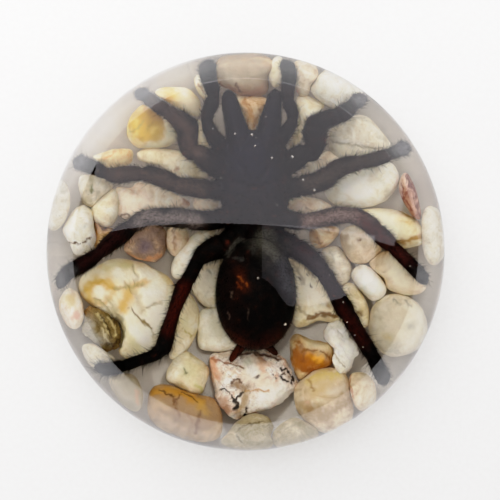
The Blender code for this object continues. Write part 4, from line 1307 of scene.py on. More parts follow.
        Mark("#77705a", ((393, 300), (401, 305)), 1.5, 0.6),
        Mark("#77705a", ((405, 300), (411, 306)), 1.4, 0.5),
    ),
    "beige_stone_4": (
        Mark("#a57c42", ((384, 272), (390, 268)), 2.6, 0.8),
        # painted light: lightens the stone in the third right leg's shadow
        Mark("#fff6e0", ((396, 270), (404, 284)), 20, 0.85),
    ),
    "beige_stone_5": (
        # partly the stone's own darker beige, partly painted shade in the gap by its neighbours
        Mark("#c4ae8a", ((345, 238), (348, 250)), 10, 0.8),
        Mark("#8a5c3c", (360, 240), 2.8, 0.85),
    ),
    "yellow_stone_4": (
        # painted light: lightens the stone below the third right leg, in its shadow
        Mark("#fff8de", ((380, 220), (398, 232)), 20, 0.9),
        Mark("#b98a3c", ((398, 243), (410, 240), (421, 236)), 3.5, 0.85),
    ),
    "milky_stone_2": (
        Mark("#fffef6", (360, 186), 30, 0.8),
    ),
    "red_stone_1": (
        Mark("#6e2c22", ((405, 176), (414, 192), (418, 210)), 2.2, 0.85),
        Mark("#8c4a3a", ((401, 182), (405, 198), (412, 210)), 2, 0.7),
    ),
    "cream_stone_7": (
        Mark("#a89a5c", ((297, 104), (300, 120), (297, 138)), 2.4, 0.6),
    ),
    "brown_stone_4": (
        Mark("#b5a68e", ((232, 72), (256, 72)), 34, 0.9),
        Mark("#d3c7b0", ((228, 76), (236, 80)), 7, 0.6),
        Mark("#b18468", ((228, 90), (244, 94), (262, 92)), 8, 0.75),
        Mark("#6a4c34", ((236, 84), (240, 92)), 1.8, 0.7, 0.1),
    ),
    "orange_stone_2": (
        Mark("#c99448", ((250, 112), (256, 122)), 7, 0.8),
    ),
    "orange_stone_3": (
        Mark("#b4813e", ((312, 232), (322, 246)), 6, 0.7),
        Mark("#6b4322", ((317, 238), (321, 243)), 2, 0.7),
    ),
    "pink_stone_4": (
        Mark("#e9d8cc", (300, 205), 8, 0.7),
        Mark("#8e6e54", ((305, 207), (311, 210)), 2, 0.6),
    ),
    "cream_stone_10": (
        Mark("#b3895a", ((199, 84), (203, 92)), 3, 0.7),
    ),
}


def rounded_solid(node):
    """The node's own coarse solid with its loose triangles joined up, a little fuller, and its rounding."""
    bm = bmesh.new()
    bm.from_mesh(frame["nodes"][node].data)
    bmesh.ops.remove_doubles(bm, verts=bm.verts, dist=0.01 * MM)
    bmesh.ops.join_triangles(
        bm, faces=bm.faces, angle_face_threshold=math.radians(40), angle_shape_threshold=math.radians(60)
    )
    low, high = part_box(node)
    middle = (low + high) / 2
    for vert in bm.verts:
        vert.co = middle + (vert.co - middle) * STONE_FULLNESS
    return bm, COARSE_ROUNDING


def smooth_loop(places, count):
    """Points spaced along a smooth closed curve through these places."""
    total = len(places)
    loop = []
    for step in range(count):
        span, local = divmod(step * total / count, 1.0)
        before, start, end, after = (places[(int(span) + shift) % total] for shift in (-1, 0, 1, 2))
        loop.append(0.5 * (
            2 * start + (end - before) * local + (2 * before - 5 * start + 4 * end - after) * local**2
            + (3 * start - before - 3 * end + after) * local**3
        ))
    return loop


def traced_solid(node, outline):
    """A pebble between the node's own levels, with the outline that it has from above, and its rounding."""
    low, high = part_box(node)
    level, half = (low.z + high.z) / 2, (high.z - low.z) / 2
    edge = smooth_loop([behind_dome(x, y, level) for x, y in outline], OUTLINE_STEPS)
    centre = sum(edge, Vector()) / len(edge)
    bm = bmesh.new()
    poles = [bm.verts.new(centre + Vector((0.0, 0.0, side * half))) for side in (-1, 1)]
    rings = []
    for step in range(1, PROFILE_STEPS):
        angle = math.pi * (step / PROFILE_STEPS - 0.5)
        reach = math.cos(angle) ** PEBBLE_FULLNESS
        rise = math.copysign(abs(math.sin(angle)) ** PEBBLE_FLATNESS, angle) * half
        rings.append([bm.verts.new(centre.lerp(spot, reach) + Vector((0.0, 0.0, rise))) for spot in edge])
    for index in range(OUTLINE_STEPS):
        after = (index + 1) % OUTLINE_STEPS
        for lower, upper in zip(rings, rings[1:]):
            bm.faces.new((lower[index], lower[after], upper[after], upper[index]))
        bm.faces.new((poles[0], rings[0][after], rings[0][index]))
        bm.faces.new((poles[1], rings[-1][index], rings[-1][after]))
    bmesh.ops.recalc_face_normals(bm, faces=bm.faces)
    return bm, ROUGH_ROUNDING if node in RELIEF else TRACED_ROUNDING


def make_pebble(node, tree, material, seed):
    """The pebble that stands for a coarse solid: the same stone, rounded, worn, stained, and on some painted
    with light or shade.
    """
    bm, rounding = traced_solid(node, OUTLINES[node]) if node in OUTLINES else rounded_solid(node)
    low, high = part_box(node)
    pebble = new_object(node + "_worn", mesh_from(bm, node))
    lump, lump_depth, pit, pit_depth = RELIEF.get(node, SMOOTH_RELIEF)
    mesh = run_tree(
        pebble, tree, Rounding=rounding, Lump_Size=lump * MM, Lump_Depth=lump_depth * MM,
        Pit_Size=pit * MM, Pit_Depth=pit_depth * MM, Seed=float(seed), Stone=material,
    )
    paint(mesh, MARKS.get(node, ()), high.z - MARK_DEPTH)
    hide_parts(node)
    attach(pebble, "root")


def make_pebbles():
    materials = {slot: stone_material(finish) for slot, finish in FINISHES.items()}
    tree = pebble_tree()
    for seed, row in enumerate(frame["record"]["subparts"]):
        if row["material_slot"] in FINISHES:
            make_pebble(row["node"], tree, materials[row["material_slot"]], seed)


# ---------------------------------------------------------------- the spider


class Limb(NamedTuple):
    """A leg or palp as it is seen from above: each point is x, y and width in photograph pixels."""

    name: str
    seen: tuple
    root_height: float = 13.4
    knee_rise: float = 2.2
    joints: tuple = ()  # the pixels where two segments meet
    foot_hair: float = 1.1  # how much longer the hairs are at its foot


LIMBS = (
    Limb(
        "left_palp",
        (
            (244, 158, 14), (230, 153, 15), (219, 144, 16), (213, 136, 15), (209, 128, 13.5),
            (206.5, 120, 12), (208, 112, 13), (211.5, 104, 15), (214, 96, 12), (212, 88, 14),
            (208.5, 78, 15.5), (207.5, 68, 15), (208, 57, 13),
        ),
        joints=((214, 96), (207, 121), (222, 147)),
    ),
    Limb(
        "right_palp",
        (
            (264, 158, 14), (275, 148, 15), (281, 139, 15.5), (287, 131, 14), (291.5, 124, 12.5),
            (293, 118, 11.5), (292.5, 112, 12), (289.5, 105, 13.5), (287.5, 99, 12), (287.5, 93, 13),
            (288.5, 85, 13.5), (289.5, 76, 13.5), (287.5, 66, 13), (285, 57, 12),
        ),
        joints=((287, 100), (293, 119), (279, 142)),
    ),
    Limb(
        "left_leg_1",
        (
            (240, 178, 18), (227, 171, 22), (216, 165.5, 24), (206, 159, 22.5), (197, 153, 18),
            (190, 155, 11), (187.5, 149, 16), (187.5, 141, 20.5), (188, 133, 21), (187, 127, 24),
            (179, 119.5, 18.5), (171, 114, 15), (163, 109, 14), (155, 103.5, 13), (148, 98, 12),
            (141, 93, 11.5), (135, 88, 10),
        ),
        joints=((193, 156), (181, 131), (166, 111), (146, 96)),
    ),
    Limb(
        "right_leg_1",
        (
            (270, 175, 18), (283, 167, 21), (292, 161, 23), (301, 155, 22), (308, 155, 16), (314, 157, 10),
            (315, 150, 16.5), (315.5, 142, 22), (314.5, 133, 24), (315.5, 126.5, 25.5), (325, 119.5, 17.5),
            (333, 117.5, 17), (341, 114.5, 17), (348, 110, 15.5), (354, 104, 12.5), (361, 98, 12),
            (368, 93, 10),
        ),
        joints=((311, 158), (316, 128), (338, 116), (352, 106)),
    ),
    Limb(
        "left_leg_2",
        (
            (240, 191, 18), (224, 190.5, 20), (211, 190, 20), (200, 188.5, 19.5), (188, 187, 18),
            (176, 185.5, 17), (168, 180.5, 18), (158, 177, 18), (150, 174, 17.5), (142, 174, 14.5),
            (133, 173.5, 15.5), (120, 175, 17), (112, 175, 14.5), (106, 174, 12), (98, 169.5, 13),
            (88, 165.5, 13), (79, 162, 13), (72, 159, 10),
        ),
        joints=((211, 190), (176, 185), (142, 174), (106, 174)),
    ),
    Limb(
        "right_leg_2",
        (
            (268, 190, 18), (285, 189, 20), (300, 186.5, 21), (310, 184, 20.5), (320, 181.5, 20.5),
            (328, 176.5, 22), (334, 171, 19.5), (341, 167, 18), (349, 164.5, 17), (357, 163, 15.5),
            (365, 161.5, 14), (375, 159.5, 14), (385, 156, 13.5), (395, 152, 11), (405, 147.5, 12.5),
            (412, 145, 11),
        ),
        joints=((300, 187), (331, 173), (361, 162), (390, 154)),
    ),
    Limb(
        "left_leg_3",
        (
            (242, 209, 18), (226, 217, 19), (212, 221, 19.5), (199, 220.5, 20), (187, 219, 20),
            (175, 217.5, 20), (163, 217, 18.5), (153, 216.5, 16.5), (146, 217, 15.5), (140, 220.5, 17),
            (133, 225.5, 16), (127, 230, 17), (121, 235, 18.5), (113, 241, 17.5), (106, 247, 16),
            (99, 253.5, 13), (90, 260, 14.5), (81, 265.5, 15.5), (73, 269, 14), (66, 274, 14),
            (61, 281, 12.5), (58, 288, 9),
        ),
        joints=((188, 219), (147, 216), (131, 227), (99, 254)),
    ),
    Limb(
        "right_leg_3",
        (
            (266, 209, 18), (284, 218, 19), (298, 221.5, 17.5), (310, 221, 16.5), (320, 219, 17),
            (330, 217, 18), (340, 215.5, 17.5), (350, 214.5, 16), (357, 216.5, 16.5), (364, 220, 17),
            (371, 225.5, 17.5), (377, 231.5, 17.5), (383, 237.5, 18), (389, 243, 16.5), (394, 248, 13.5),
            (400, 254, 13.5), (406, 260, 13.5), (412, 266, 13.5), (418, 272, 13.5), (424, 279, 12),
            (427, 284, 9),
        ),
        joints=((305, 221), (351, 214), (377, 231), (393, 247)),
    ),
    Limb(
        "left_leg_4",
        (
            (246, 226, 20), (236, 236, 23), (227, 243, 24), (219, 247, 24), (211, 250, 22.5),
            (204, 254, 19.5), (198.5, 259.5, 16), (195, 266, 13.5), (192, 273, 13.5), (187, 281, 15.5),
            (183, 288, 16.5), (180, 295, 15.5), (177, 303, 14), (174.5, 310, 13), (171.5, 320, 13.5),
            (168, 330, 15), (166, 339, 16.5), (163, 348, 16.5), (155, 355, 12.2), (145, 358.5, 11.2),
            (135, 362, 11.2), (125, 365.5, 11.8), (115, 368, 12.6), (105, 369.5, 11.5), (98, 368, 9),
            (94, 367, 6),
        ),
        joints=((224, 245), (198, 261), (187, 281), (161, 351), (124, 366)), foot_hair=2.3,
    ),
    Limb(
        "right_leg_4",
        (
            (264, 226, 20), (275, 237, 21), (285, 243, 22), (294, 247.5, 22), (303, 252.5, 20.5),
            (311, 259, 19), (318, 266, 18), (325, 274.5, 17), (330.5, 284, 15), (335, 292, 15.5),
            (339.5, 300.5, 17.5), (344.5, 309, 19), (349.5, 317, 16.5), (355, 327, 15), (361, 337, 14.5),
            (367, 347, 14.5), (372, 355, 14), (376.5, 364, 13.5), (381, 373, 13.5), (385, 380, 12),
            (388, 385, 8),
        ),
        joints=((296, 249), (324, 273), (348, 315), (372, 356)),
    ),
    Limb(
        "left_fang_base",
        (
            (243, 162, 30), (241, 147, 28), (238, 135, 24), (235.5, 125, 21.5), (233, 115, 19),
            (230.5, 105, 17), (228.5, 96, 13.5), (227.5, 90, 10),
        ),
        root_height=14.6, knee_rise=0.4,
    ),
    Limb(
        "right_fang_base",
        (
            (262, 162, 30), (265, 147, 28), (268, 135, 25), (270, 125, 22.5), (271.5, 115, 19.5),
            (273.5, 105, 16), (275, 96, 13), (276, 89, 10),
        ),
        root_height=14.6, knee_rise=0.4,
    ),
    Limb(
        "waist", ((256, 212, 26), (256, 230, 20), (256, 250, 26)),
        root_height=14.6, knee_rise=0.0,
    ),
    Limb(
        "left_spinneret", ((245, 338, 10), (241, 347, 9.5), (237, 352, 8.5), (233, 357, 7), (230, 362, 4.5)),
        root_height=13.0, knee_rise=0.0,
    ),
    Limb(
        "right_spinneret", ((263, 338, 10), (269, 347, 8), (274, 352, 6.5), (278, 355, 4.5)),
        root_height=13.0, knee_rise=0.0,
    ),
)


class Swelling(NamedTuple):
    """A rounded body part seen from above: photograph pixels, with its heights in millimetres."""

    seen_at: tuple
    wide: float
    long: float
    bottom: float
    top: float
    square: float


CARAPACE = Swelling((255, 179), 72, 98, 11.0, 17.8, 2.6)
ABDOMEN = Swelling((256, 294), 80, 112, 10.6, 21.0, 2.1)
SWELLING_WAIST = 0.42  # the share of a body part's height at which it is widest
SWELLING_FULLNESS = 0.9
KNEE_ARCH_END = 0.75  # the share of a limb's length at which the arch of its knee is over
LEG_DESCENT = 1.2  # above 1, so that a limb is down at its rest level before its end
LIMB_SIDES = 18
LEAST_RINGS, RING_STEP = 14, 0.35 * MM
ROUTE_SLACK, TIP_SLACK = 1.2, 1.1  # a limb's bent length over the straight way between its ends
TIP_BLUNT = 0.12  # how blunt a limb's very tip is
LEG_FLATNESS = 0.94  # a limb's height over its width
SKIN_VOXEL = 0.26 * MM

JOINT_DEPTH, JOINT_WIDTH = 0.17, 2.0  # how far a limb is drawn in at a joint, and over how many pixels


def along_route(points, share):
    """The point at this share of a route's length, on the straight stretches between its points."""
    lengths = [0.0]
    for first, second in zip(points, points[1:]):
        lengths.append(lengths[-1] + math.dist(first[:2], second[:2]))
    wanted = share * lengths[-1]
    span = max(index for index in range(len(points) - 1) if lengths[index] <= wanted)
    local = (wanted - lengths[span]) / (lengths[span + 1] - lengths[span])
    return Vector(points[span]).lerp(Vector(points[span + 1]), local)


def limb_point(limb, share):
    """Where a limb's middle is at this share of its length, and its radius there."""
    seen_x, seen_y, seen_width = along_route(limb.seen, share)
    root = limb.root_height * MM
    radius = seen_width / 2 * shrink_at(seen_x, seen_y, root)
    rest = BODY_REST + radius
    arch = limb.knee_rise * MM * math.sin(math.pi * min(1.0, share / KNEE_ARCH_END))
    height = root + (rest - root) * min(1.0, share * LEG_DESCENT) + arch
    for joint in limb.joints:
        apart = math.dist(joint, (seen_x, seen_y))
        radius *= 1.0 - JOINT_DEPTH * math.exp(-((apart / JOINT_WIDTH) ** 2))
    return behind_dome(seen_x, seen_y, height), radius


class Skin:
    """The spider's parts as they are gathered, with what each point of them tells the hairs."""

    def __init__(self):
        self.bm = bmesh.new()
        self.facts = []  # (place, direction that hairs lie in, hair length in millimetres)

    def tube(self, middles, radii, hair, flat=1.0, foot=1.0):
        """A closed tube along these points, with hairs that are foot times as long at its end."""
        rings = []
        side = None
        for index, (middle, radius) in enumerate(zip(middles, radii)):
            after = middles[min(index + 1, len(middles) - 1)]
            before = middles[max(index - 1, 0)]
            ahead = (after - before).normalized()
            side = (side or Vector((0, 0, 1)).cross(ahead)).normalized()
            side = (side - ahead * side.dot(ahead)).normalized()
            up = side.cross(ahead) * -1.0
            ring = []
            for step in range(LIMB_SIDES):
                turn = 2 * math.pi * step / LIMB_SIDES
                out = side * math.cos(turn) + up * math.sin(turn) * flat
                ring.append(self.bm.verts.new(middle + out * radius))
                longer = 1.0 + (foot - 1.0) * (index / len(middles)) ** FOOT_HAIR_GROWTH
                self.facts.append((ring[-1].co.copy(), ahead, hair * longer))
            rings.append(ring)
        for first, second in zip(rings, rings[1:]):
            for step in range(LIMB_SIDES):
                after = (step + 1) % LIMB_SIDES
                self.bm.faces.new((first[step], first[after], second[after], second[step]))
        self.bm.faces.new(list(reversed(rings[0])))
        self.bm.faces.new(rings[-1])

    def swelling(self, part, faces, relief, hair):
        """A body part, drawn out to its seen outline, with relief(across, along) in millimetres on top."""
        made = bmesh.new()
        bmesh.ops.create_uvsphere(made, u_segments=faces[0], v_segments=faces[1], radius=1.0)
        waist = part.bottom + (part.top - part.bottom) * SWELLING_WAIST
        for vert in made.verts:
            flat = min(1.0, math.hypot(vert.co.x, vert.co.y)) ** SWELLING_FULLNESS
            angle = math.atan2(vert.co.y, vert.co.x)
            square = abs(math.cos(angle)) ** part.square + abs(math.sin(angle)) ** part.square
            reach = square ** (-1.0 / part.square) * flat
            across, along = reach * math.cos(angle), reach * math.sin(angle)
            pixel = (part.seen_at[0] + across * part.wide / 2, part.seen_at[1] - along * part.long / 2)
            place = behind_dome(*pixel, waist * MM)
            half = (part.top - waist) if vert.co.z > 0 else (waist - part.bottom)
            place.z = (waist + vert.co.z * half + relief(across, along) * max(0.0, vert.co.z)) * MM
            vert.co = place
            self.facts.append((place.copy(), Vector((across * 0.4, -1.0, 0.0)).normalized(), hair))
        mesh = mesh_from(made, "swelling")
        self.bm.from_mesh(mesh)
        bpy.data.meshes.remove(mesh)


def carapace_relief(across, along):
    """A raised head in front, a short pit behind it, and grooves that run out from the pit to the legs."""
    head = 0.7 * math.exp(-((across / 0.42) ** 2) - (((along - 0.62) / 0.34) ** 2))
    head += 0.5 * math.exp(-((across / 0.13) ** 2) - (((along - 0.84) / 0.06) ** 2))  # the eyes' mound
    out, ahead = across, along + 0.18
    pit = -0.9 * math.exp(-((out / 0.20) ** 2) - ((ahead / 0.07) ** 2))
    around = math.atan2(ahead, abs(out))
    distance = math.hypot(out, ahead)
    groove = 0.0
    for angle in (-1.1, -0.45, 0.2, 0.85):
        groove -= 0.32 * math.exp(-(((around - angle) * distance / 0.05) ** 2))
    return head + pit + groove * min(1.0, distance / 0.3) * max(0.0, 1.0 - distance**4)


def abdomen_relief(across, along):
    """Dry wrinkles across the front, two rows of small dents, and a soft heart-shaped rise."""
    wrinkle = 0.16 * math.sin(34.0 * along + 3.0 * across * across) * max(0.0, along - 0.35)
    dents = 0.0
    for row in (0.45, 0.12, -0.2):
        for side in (-0.3, 0.3):
            dents -= 0.22 * math.exp(-(((across - side) / 0.07) ** 2) - (((along - row) / 0.06) ** 2))
    return wrinkle + dents + 0.15 * math.cos(3.0 * across)


# The fangs fold back under the head from a little short of their bases' ends.
FANG_LENGTH, FANG_RINGS, FANG_SWING = 3.6 * MM, 12, math.radians(95)
FANG_BACK, FANG_DOWN = 0.8, 0.5  # how far a fang curves back and down, in its own lengths
FANG_START = 0.94  # the share of its base's length at which a fang starts
FANG_ROOT, FANG_TIP = 0.75, 0.15  # its root over its base's radius, and its tip over its root
CARAPACE_FACES, ABDOMEN_FACES = (72, 44), (80, 56)  # round and from end to end
CARAPACE_HAIR, ABDOMEN_HAIR, LEG_HAIR, FANG_HAIR = 0.35, 0.55, 0.9, 0.45  # millimetres
FOOT_HAIR_GROWTH = 3  # the higher, the nearer to the foot the hairs start to lengthen


def add_limb(skin, limb):
    start, end = limb_point(limb, 0.0)[0], limb_point(limb, 1.0)[0]
    reach = (end - start).length
    count = max(LEAST_RINGS, int(reach * ROUTE_SLACK / RING_STEP))
    middles, radii = [], []
    for step in range(count + 1):
        middle, radius = limb_point(limb, step / count)
        left = (1.0 - step / count) * reach * TIP_SLACK
        radius *= math.sqrt(min(1.0, TIP_BLUNT + left / radius)) if limb.name != "waist" else 1.0
        middles.append(middle)
        radii.append(radius)
    if limb.joints:
        skin.tube(middles, radii, LEG_HAIR, flat=LEG_FLATNESS, foot=limb.foot_hair)
    else:
        skin.tube(middles, radii, FANG_HAIR, flat=LEG_FLATNESS)


def add_fang(skin, limb):
    """A fang that swings down and back from the end of its base, bare of hairs."""
    tip, radius = limb_point(limb, FANG_START)
    middles, radii = [], []
    for step in range(FANG_RINGS + 1):
        share = step / FANG_RINGS
        swing = FANG_SWING * share
        back = FANG_LENGTH * (1.0 - math.cos(swing)) * FANG_BACK
        middles.append(tip + Vector((0.0, -back, -FANG_LENGTH * FANG_DOWN * math.sin(swing))))
        radii.append(FANG_ROOT * radius * (1.0 - (1.0 - FANG_TIP) * share))
    skin.tube(middles, radii, 0.0)


def gather_skin():
    skin = Skin()
    skin.swelling(CARAPACE, CARAPACE_FACES, carapace_relief, CARAPACE_HAIR)
    skin.swelling(ABDOMEN, ABDOMEN_FACES, abdomen_relief, ABDOMEN_HAIR)
    for limb in LIMBS:
        add_limb(skin, limb)
    for limb in LIMBS:
        if limb.name.endswith("fang_base"):
            add_fang(skin, limb)
    return skin


SPIDER_MARK_LEVEL = 12.5 * MM  # the level that the spider's marks are placed at
SPIDER_MARKS = (
    # The blue-black over the head, the carapace's middle and the fang bases is painted reflection: a bluish
    # sheen standing in for the pale veil that the dome mirrors.
    Mark("#0a0c24", ((250, 150), (255, 170)), 36, 0.9),
    Mark("#14121a", ((256, 190), (256, 205)), 30, 0.7),
    Mark("#10101f", ((242, 135), (232, 105)), 14, 0.8),
    Mark("#10101f", ((266, 135), (273, 105)), 14, 0.8),
    # The paler brown and brown-grey over the legs' upper segments, down to the right hind leg's mark, are
    # partly their own brown and partly painted reflection of the veil; the near-black mark on the right front
    # leg is its own colour.
    Mark("#57443b", ((196, 154), (188, 140), (186, 127), (172, 115), (152, 101)), 12, 0.9),
    Mark("#4d3c32", ((200, 189), (176, 185), (160, 178), (140, 174), (112, 175)), 12, 0.9),
    Mark("#7f736f", ((195, 220), (170, 218), (148, 217), (138, 223)), 12, 0.9),
    Mark("#0e0a09", ((300, 156), (315, 142), (316, 127), (337, 116)), 12, 0.8),
    Mark("#43382f", ((310, 184), (330, 175), (352, 164), (385, 156)), 12, 0.9),
    Mark("#86706a", ((308, 221), (328, 217), (352, 215), (364, 221)), 12, 0.9),
    Mark("#33262a", ((300, 250), (318, 266), (332, 288)), 12, 0.8),
    Mark("#3a1a18", ((82, 265), (100, 252), (116, 238)), 11, 0.85),
    Mark("#522620", ((366, 221), (378, 233), (392, 247), (406, 260)), 10, 0.9),
    Mark("#43170d", ((344, 310), (352, 324), (362, 342)), 10, 0.9),
    Mark("#3a1613", ((303, 248), (311, 252)), 5, 0.7),
    Mark("#521d10", ((183, 288), (175, 310), (168, 332)), 10, 0.9),
    Mark("#1d0c08", ((230, 262), (226, 295), (232, 325)), 16, 0.7),
    Mark("#4c2412", ((240, 276), (243, 288)), 9, 0.8),
    Mark("#a05c28", ((239, 277), (243, 281)), 2.4, 0.9, 0.0, 4.0),
    Mark("#a05c28", ((246, 284), (247, 287)), 2.2, 0.9, 0.0, 4.0),
    Mark("#8a4a20", ((236, 283), (241, 289)), 1.8, 0.85, 0.0, 4.0),
    Mark("#56544e", ((227, 256), (231, 249), (236, 242), (243, 239)), 3.4, 0.85, 0.0, 4.0),
    Mark("#4a4946", ((234, 258), (242, 259)), 3.0, 0.8, 0.0, 4.0),
    Mark("#3e3d3b", ((252, 236), (254, 244), (253, 253)), 2.4, 0.75, 0.0, 4.0),
    Mark("#6b3424", (227, 243), 3.0, 0.85),
    Mark("#4a2018", (249, 252), 2.6, 0.8),
    # The two grey marks on the abdomen's right front are painted reflection of the veil.
    Mark("#63625a", ((262, 239), (268, 247), (276, 257)), 13, 0.9),
    Mark("#44444a", ((283, 266), (289, 288)), 11, 0.85),
    Mark("#6a5c50", ((231, 293), (232, 298)), 1.4, 0.8, 0.0, 4.0),
    Mark("#5e5048", ((227, 313), (229, 319)), 1.4, 0.8, 0.0, 4.0),
    Mark("#54483e", ((248, 310), (248, 322)), 1.4, 0.7, 0.0, 4.0),
    Mark("#3c170c", ((228, 334), (244, 345), (262, 347), (279, 338)), 10, 0.85),
    Mark("#5a2a18", ((240, 346), (230, 361)), 7, 0.9),
    Mark("#4a2416", ((268, 347), (277, 355)), 6, 0.9),
    Mark("#2a1512", ((160, 106), (178, 116)), 9, 0.5),
    # The grey marks at the leg tips from here on are painted reflection of the lit rim on the feet; the dark
    # brown line along the right front leg is its own colour.
    Mark("#4c4a4a", (84, 164), 9, 0.8),
    Mark("#5a5858", (62, 282), 12, 0.85),
    Mark("#3c3a3a", (106, 367), 10, 0.6),
    Mark("#333334", (384, 378), 10, 0.6),
    Mark("#4c4a4a", (420, 276), 7, 0.7),
    Mark("#5a5858", (72, 272), 6, 0.8),
    Mark("#77757a", ((401, 149), (411, 145)), 12, 0.9),
    Mark("#1a0a08", ((334, 121), (345, 117), (353, 108)), 4, 0.9),
    Mark("#6c6a6e", ((360, 100), (368, 93)), 12, 0.9),
    Mark("#444346", (141, 93), 9, 0.7),
)


def cuticle_material():
    """Dry spider cuticle: a matt brown-black shell, redder where the legs are thin."""
    material, tree = new_material("dried_cuticle")
    place = add(tree, "ShaderNodeTexCoord").outputs["Object"]
    patch = add(tree, "ShaderNodeTexNoise", {"Vector": place, "Scale": 1.0 / (1.6 * MM), "Detail": 6.0})
    ground = add(
        tree, "ShaderNodeValToRGB", {"Fac": patch.outputs["Fac"]},
        stops=[
            (0.36, linear("#040303")), (0.52, linear("#0a0605")), (0.68, linear("#1f0e08")),
            (0.80, linear("#5e2c12")),
        ],
    )
    stain_and_painted_light = add(tree, "ShaderNodeAttribute", attribute_name=STAIN_AND_PAINTED_LIGHT, attribute_type="GEOMETRY")
    grain = add(tree, "ShaderNodeTexNoise", {"Vector": place, "Scale": 1.0 / (0.35 * MM), "Detail": 4.0})
    ragged = add(
        tree, "ShaderNodeMapRange",
        {"Value": grain.outputs["Fac"], "From Min": 0.3, "From Max": 0.65, "To Min": 0.45, "To Max": 1.0},
    )
    cover = add(
        tree, "ShaderNodeMath", {0: ragged.outputs["Result"], 1: stain_and_painted_light.outputs["Alpha"]}, operation="MULTIPLY"
    )
    colour = add(
        tree, "ShaderNodeMix",
        {0: cover.outputs[0], MIX_A: ground.outputs["Color"], MIX_B: stain_and_painted_light.outputs["Color"]},
        data_type="RGBA",
    )
    bump = add(
        tree, "ShaderNodeBump", {"Height": grain.outputs["Fac"], "Strength": 0.6, "Distance": 0.05 * MM}
    )
    shader = add(
        tree, "ShaderNodeBsdfPrincipled",
        {
            "Base Color": colour.outputs[MIX_RESULT], "Roughness": 0.45, "Specular IOR Level": 0.06,
            "Normal": bump.outputs["Normal"],
        },
    )
    add(tree, "ShaderNodeOutputMaterial", {"Surface": shader.outputs[0]})
    return material


def setae_material():
    """Fine dry hairs: near black, with brown patches here and there."""
    material, tree = new_material("dry_setae")
    place = add(tree, "ShaderNodeTexCoord").outputs["Object"]
    mix = add(tree, "ShaderNodeTexNoise", {"Vector": place, "Scale": 1.0 / (1.1 * MM), "Detail": 2.0})
    tone = add(
        tree, "ShaderNodeValToRGB", {"Fac": mix.outputs["Fac"]},
        stops=[(0.45, linear("#040302")), (0.62, linear("#0e0806")), (0.78, linear("#3a2416"))],
    )
    shader = add(
        tree, "ShaderNodeBsdfPrincipled",
        {"Base Color": tone.outputs["Color"], "Roughness": 0.6, "Specular IOR Level": 0.04},
    )
    add(tree, "ShaderNodeOutputMaterial", {"Surface": shader.outputs[0]})
    return material


HAIR_STRAY = 0.55  # how far a hair turns from the way that its neighbours lie
HAIR_SHORTEST, HAIR_LONGEST = 0.5, 1.35  # times the length that the skin gives


def setae_tree():
    """Thin tapered hairs all over a skin, lying the way its hair_lie attribute points."""
    tree, given = new_tree(
        "setae", Density=float, Thickness=float, Stretch=float, Lean=float, Seed=int, Hair=bpy.types.Material
    )
    length = add(tree, "GeometryNodeInputNamedAttribute", {"Name": "hair_length"}, data_type="FLOAT")
    lie = add(tree, "GeometryNodeInputNamedAttribute", {"Name": "hair_lie"}, data_type="FLOAT_VECTOR")
    haired = add(tree, "FunctionNodeCompare", {0: length.outputs[0], 1: 0.05 * MM}, operation="GREATER_THAN")
    roots = add(
        tree, "GeometryNodeDistributePointsOnFaces",
        {
            "Mesh": given["Geometry"], "Density": given["Density"], "Seed": given["Seed"],
            "Selection": haired.outputs[0],
        },
    )
    leaning = add(
        tree, "ShaderNodeVectorMath", {0: lie.outputs[0], "Scale": given["Lean"]}, operation="SCALE"
    )
    stray = add(
        tree, "FunctionNodeRandomValue",
        {0: (-HAIR_STRAY,) * 3, 1: (HAIR_STRAY,) * 3, "Seed": given["Seed"]}, data_type="FLOAT_VECTOR",
    )
    up = add(tree, "ShaderNodeVectorMath", {0: roots.outputs["Normal"], 1: leaning.outputs[0]})
    way = add(tree, "ShaderNodeVectorMath", {0: up.outputs[0], 1: stray.outputs[0]})
    turn = add(tree, "FunctionNodeAlignRotationToVector", {"Vector": way.outputs[0]}, axis="Z")
    spread = add(
        tree, "FunctionNodeRandomValue",
        {2: HAIR_SHORTEST, 3: HAIR_LONGEST, "Seed": given["Seed"]}, data_type="FLOAT",
    )
    here = add(tree, "ShaderNodeMath", {0: length.outputs[0], 1: spread.outputs[1]}, operation="MULTIPLY")
    tall = add(tree, "ShaderNodeMath", {0: here.outputs[0], 1: given["Stretch"]}, operation="MULTIPLY")
    size = add(
        tree, "ShaderNodeCombineXYZ", {"X": given["Thickness"], "Y": given["Thickness"], "Z": tall.outputs[0]}
    )
    hair = add(
        tree, "GeometryNodeMeshCone",
        {"Vertices": 3, "Radius Top": 0.0, "Radius Bottom": 1.0, "Depth": 1.0},
    )
    hairs = add(
        tree, "GeometryNodeInstanceOnPoints",
        {
            "Points": roots.outputs["Points"], "Instance": hair.outputs["Mesh"],
            "Rotation": turn.outputs[0], "Scale": size.outputs[0],
        },
    )
    real = add(tree, "GeometryNodeRealizeInstances", {"Geometry": hairs.outputs[0]})
    made = add(tree, "GeometryNodeSetMaterial", {"Geometry": real.outputs[0], "Material": given["Hair"]})
    add(tree, "NodeGroupOutput", {"Geometry": made.outputs[0]})
    return tree


# Fine hairs, and long bristles among them: hairs on a square metre of skin, and their sizes and leaning.
HAIRS = {"Density": 9.0e6, "Thickness": 0.026 * MM, "Stretch": 1.0, "Lean": 1.0, "Seed": 7}
BRISTLES = {"Density": 0.5e6, "Thickness": 0.048 * MM, "Stretch": 1.8, "Lean": 0.7, "Seed": 11}


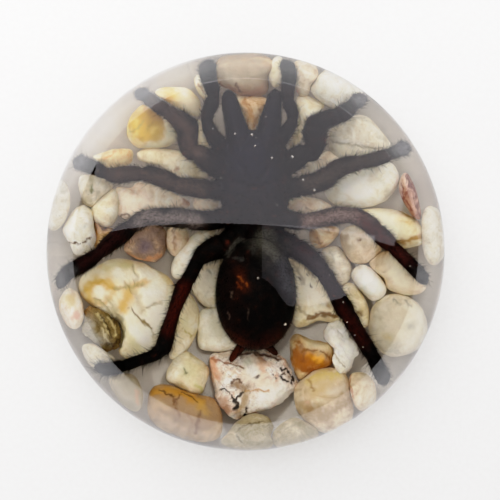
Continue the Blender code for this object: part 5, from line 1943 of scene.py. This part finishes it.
def seamless_skin(skin):
    """The gathered parts remeshed as one smooth skin, on its own object."""
    bmesh.ops.recalc_face_normals(skin.bm, faces=skin.bm.faces)
    spider = new_object("spider_skin", mesh_from(skin.bm, "spider_skin"))
    remesh = spider.modifiers.new("one_skin", "REMESH")
    remesh.mode = "VOXEL"
    remesh.voxel_size = SKIN_VOXEL
    mesh = finished_mesh(spider)
    bm = bmesh.new()
    bm.from_mesh(mesh)
    bmesh.ops.smooth_vert(
        bm, verts=bm.verts, factor=0.5, use_axis_x=True, use_axis_y=True, use_axis_z=True
    )
    bm.to_mesh(mesh)
    bm.free()
    shade_round(mesh)
    return spider


def lay_hairs(mesh, facts):
    """Tell each point of the skin which way its hairs lie, and how long they are."""
    nearest = kdtree.KDTree(len(facts))
    for index, (place, lie, hair) in enumerate(facts):
        nearest.insert(place, index)
    nearest.balance()
    lies, lengths = [], []
    for vert in mesh.vertices:
        place, lie, hair = facts[nearest.find(vert.co)[1]]
        lies.extend(lie)
        lengths.append(hair * MM)
    mesh.attributes.new("hair_lie", "FLOAT_VECTOR", "POINT").data.foreach_set("vector", lies)
    mesh.attributes.new("hair_length", "FLOAT", "POINT").data.foreach_set("value", lengths)


def make_spider():
    """The whole spider as one skin, remeshed from its gathered parts, and its hairs."""
    skin = gather_skin()
    spider = seamless_skin(skin)
    mesh = spider.data
    lay_hairs(mesh, skin.facts)
    paint(mesh, SPIDER_MARKS, SPIDER_MARK_LEVEL)
    mesh.materials.clear()
    mesh.materials.append(cuticle_material())

    tree, hair = setae_tree(), setae_material()
    pieces = [spider]
    for name, sizes in (("spider_setae", HAIRS), ("spider_bristles", BRISTLES)):
        pieces.append(new_object(name, mesh.copy()))
        run_tree(pieces[-1], tree, Hair=hair, **sizes)
    for name in ("hair_lie", "hair_length"):
        mesh.attributes.remove(mesh.attributes[name])
    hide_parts("spider")
    for piece in pieces:
        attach(piece, "root")


# ---------------------------------------------------------------- assembly


make_camera()
make_room_light()
make_lamps()
make_floor()
set_view()
make_resin()
make_pebbles()
make_spider()
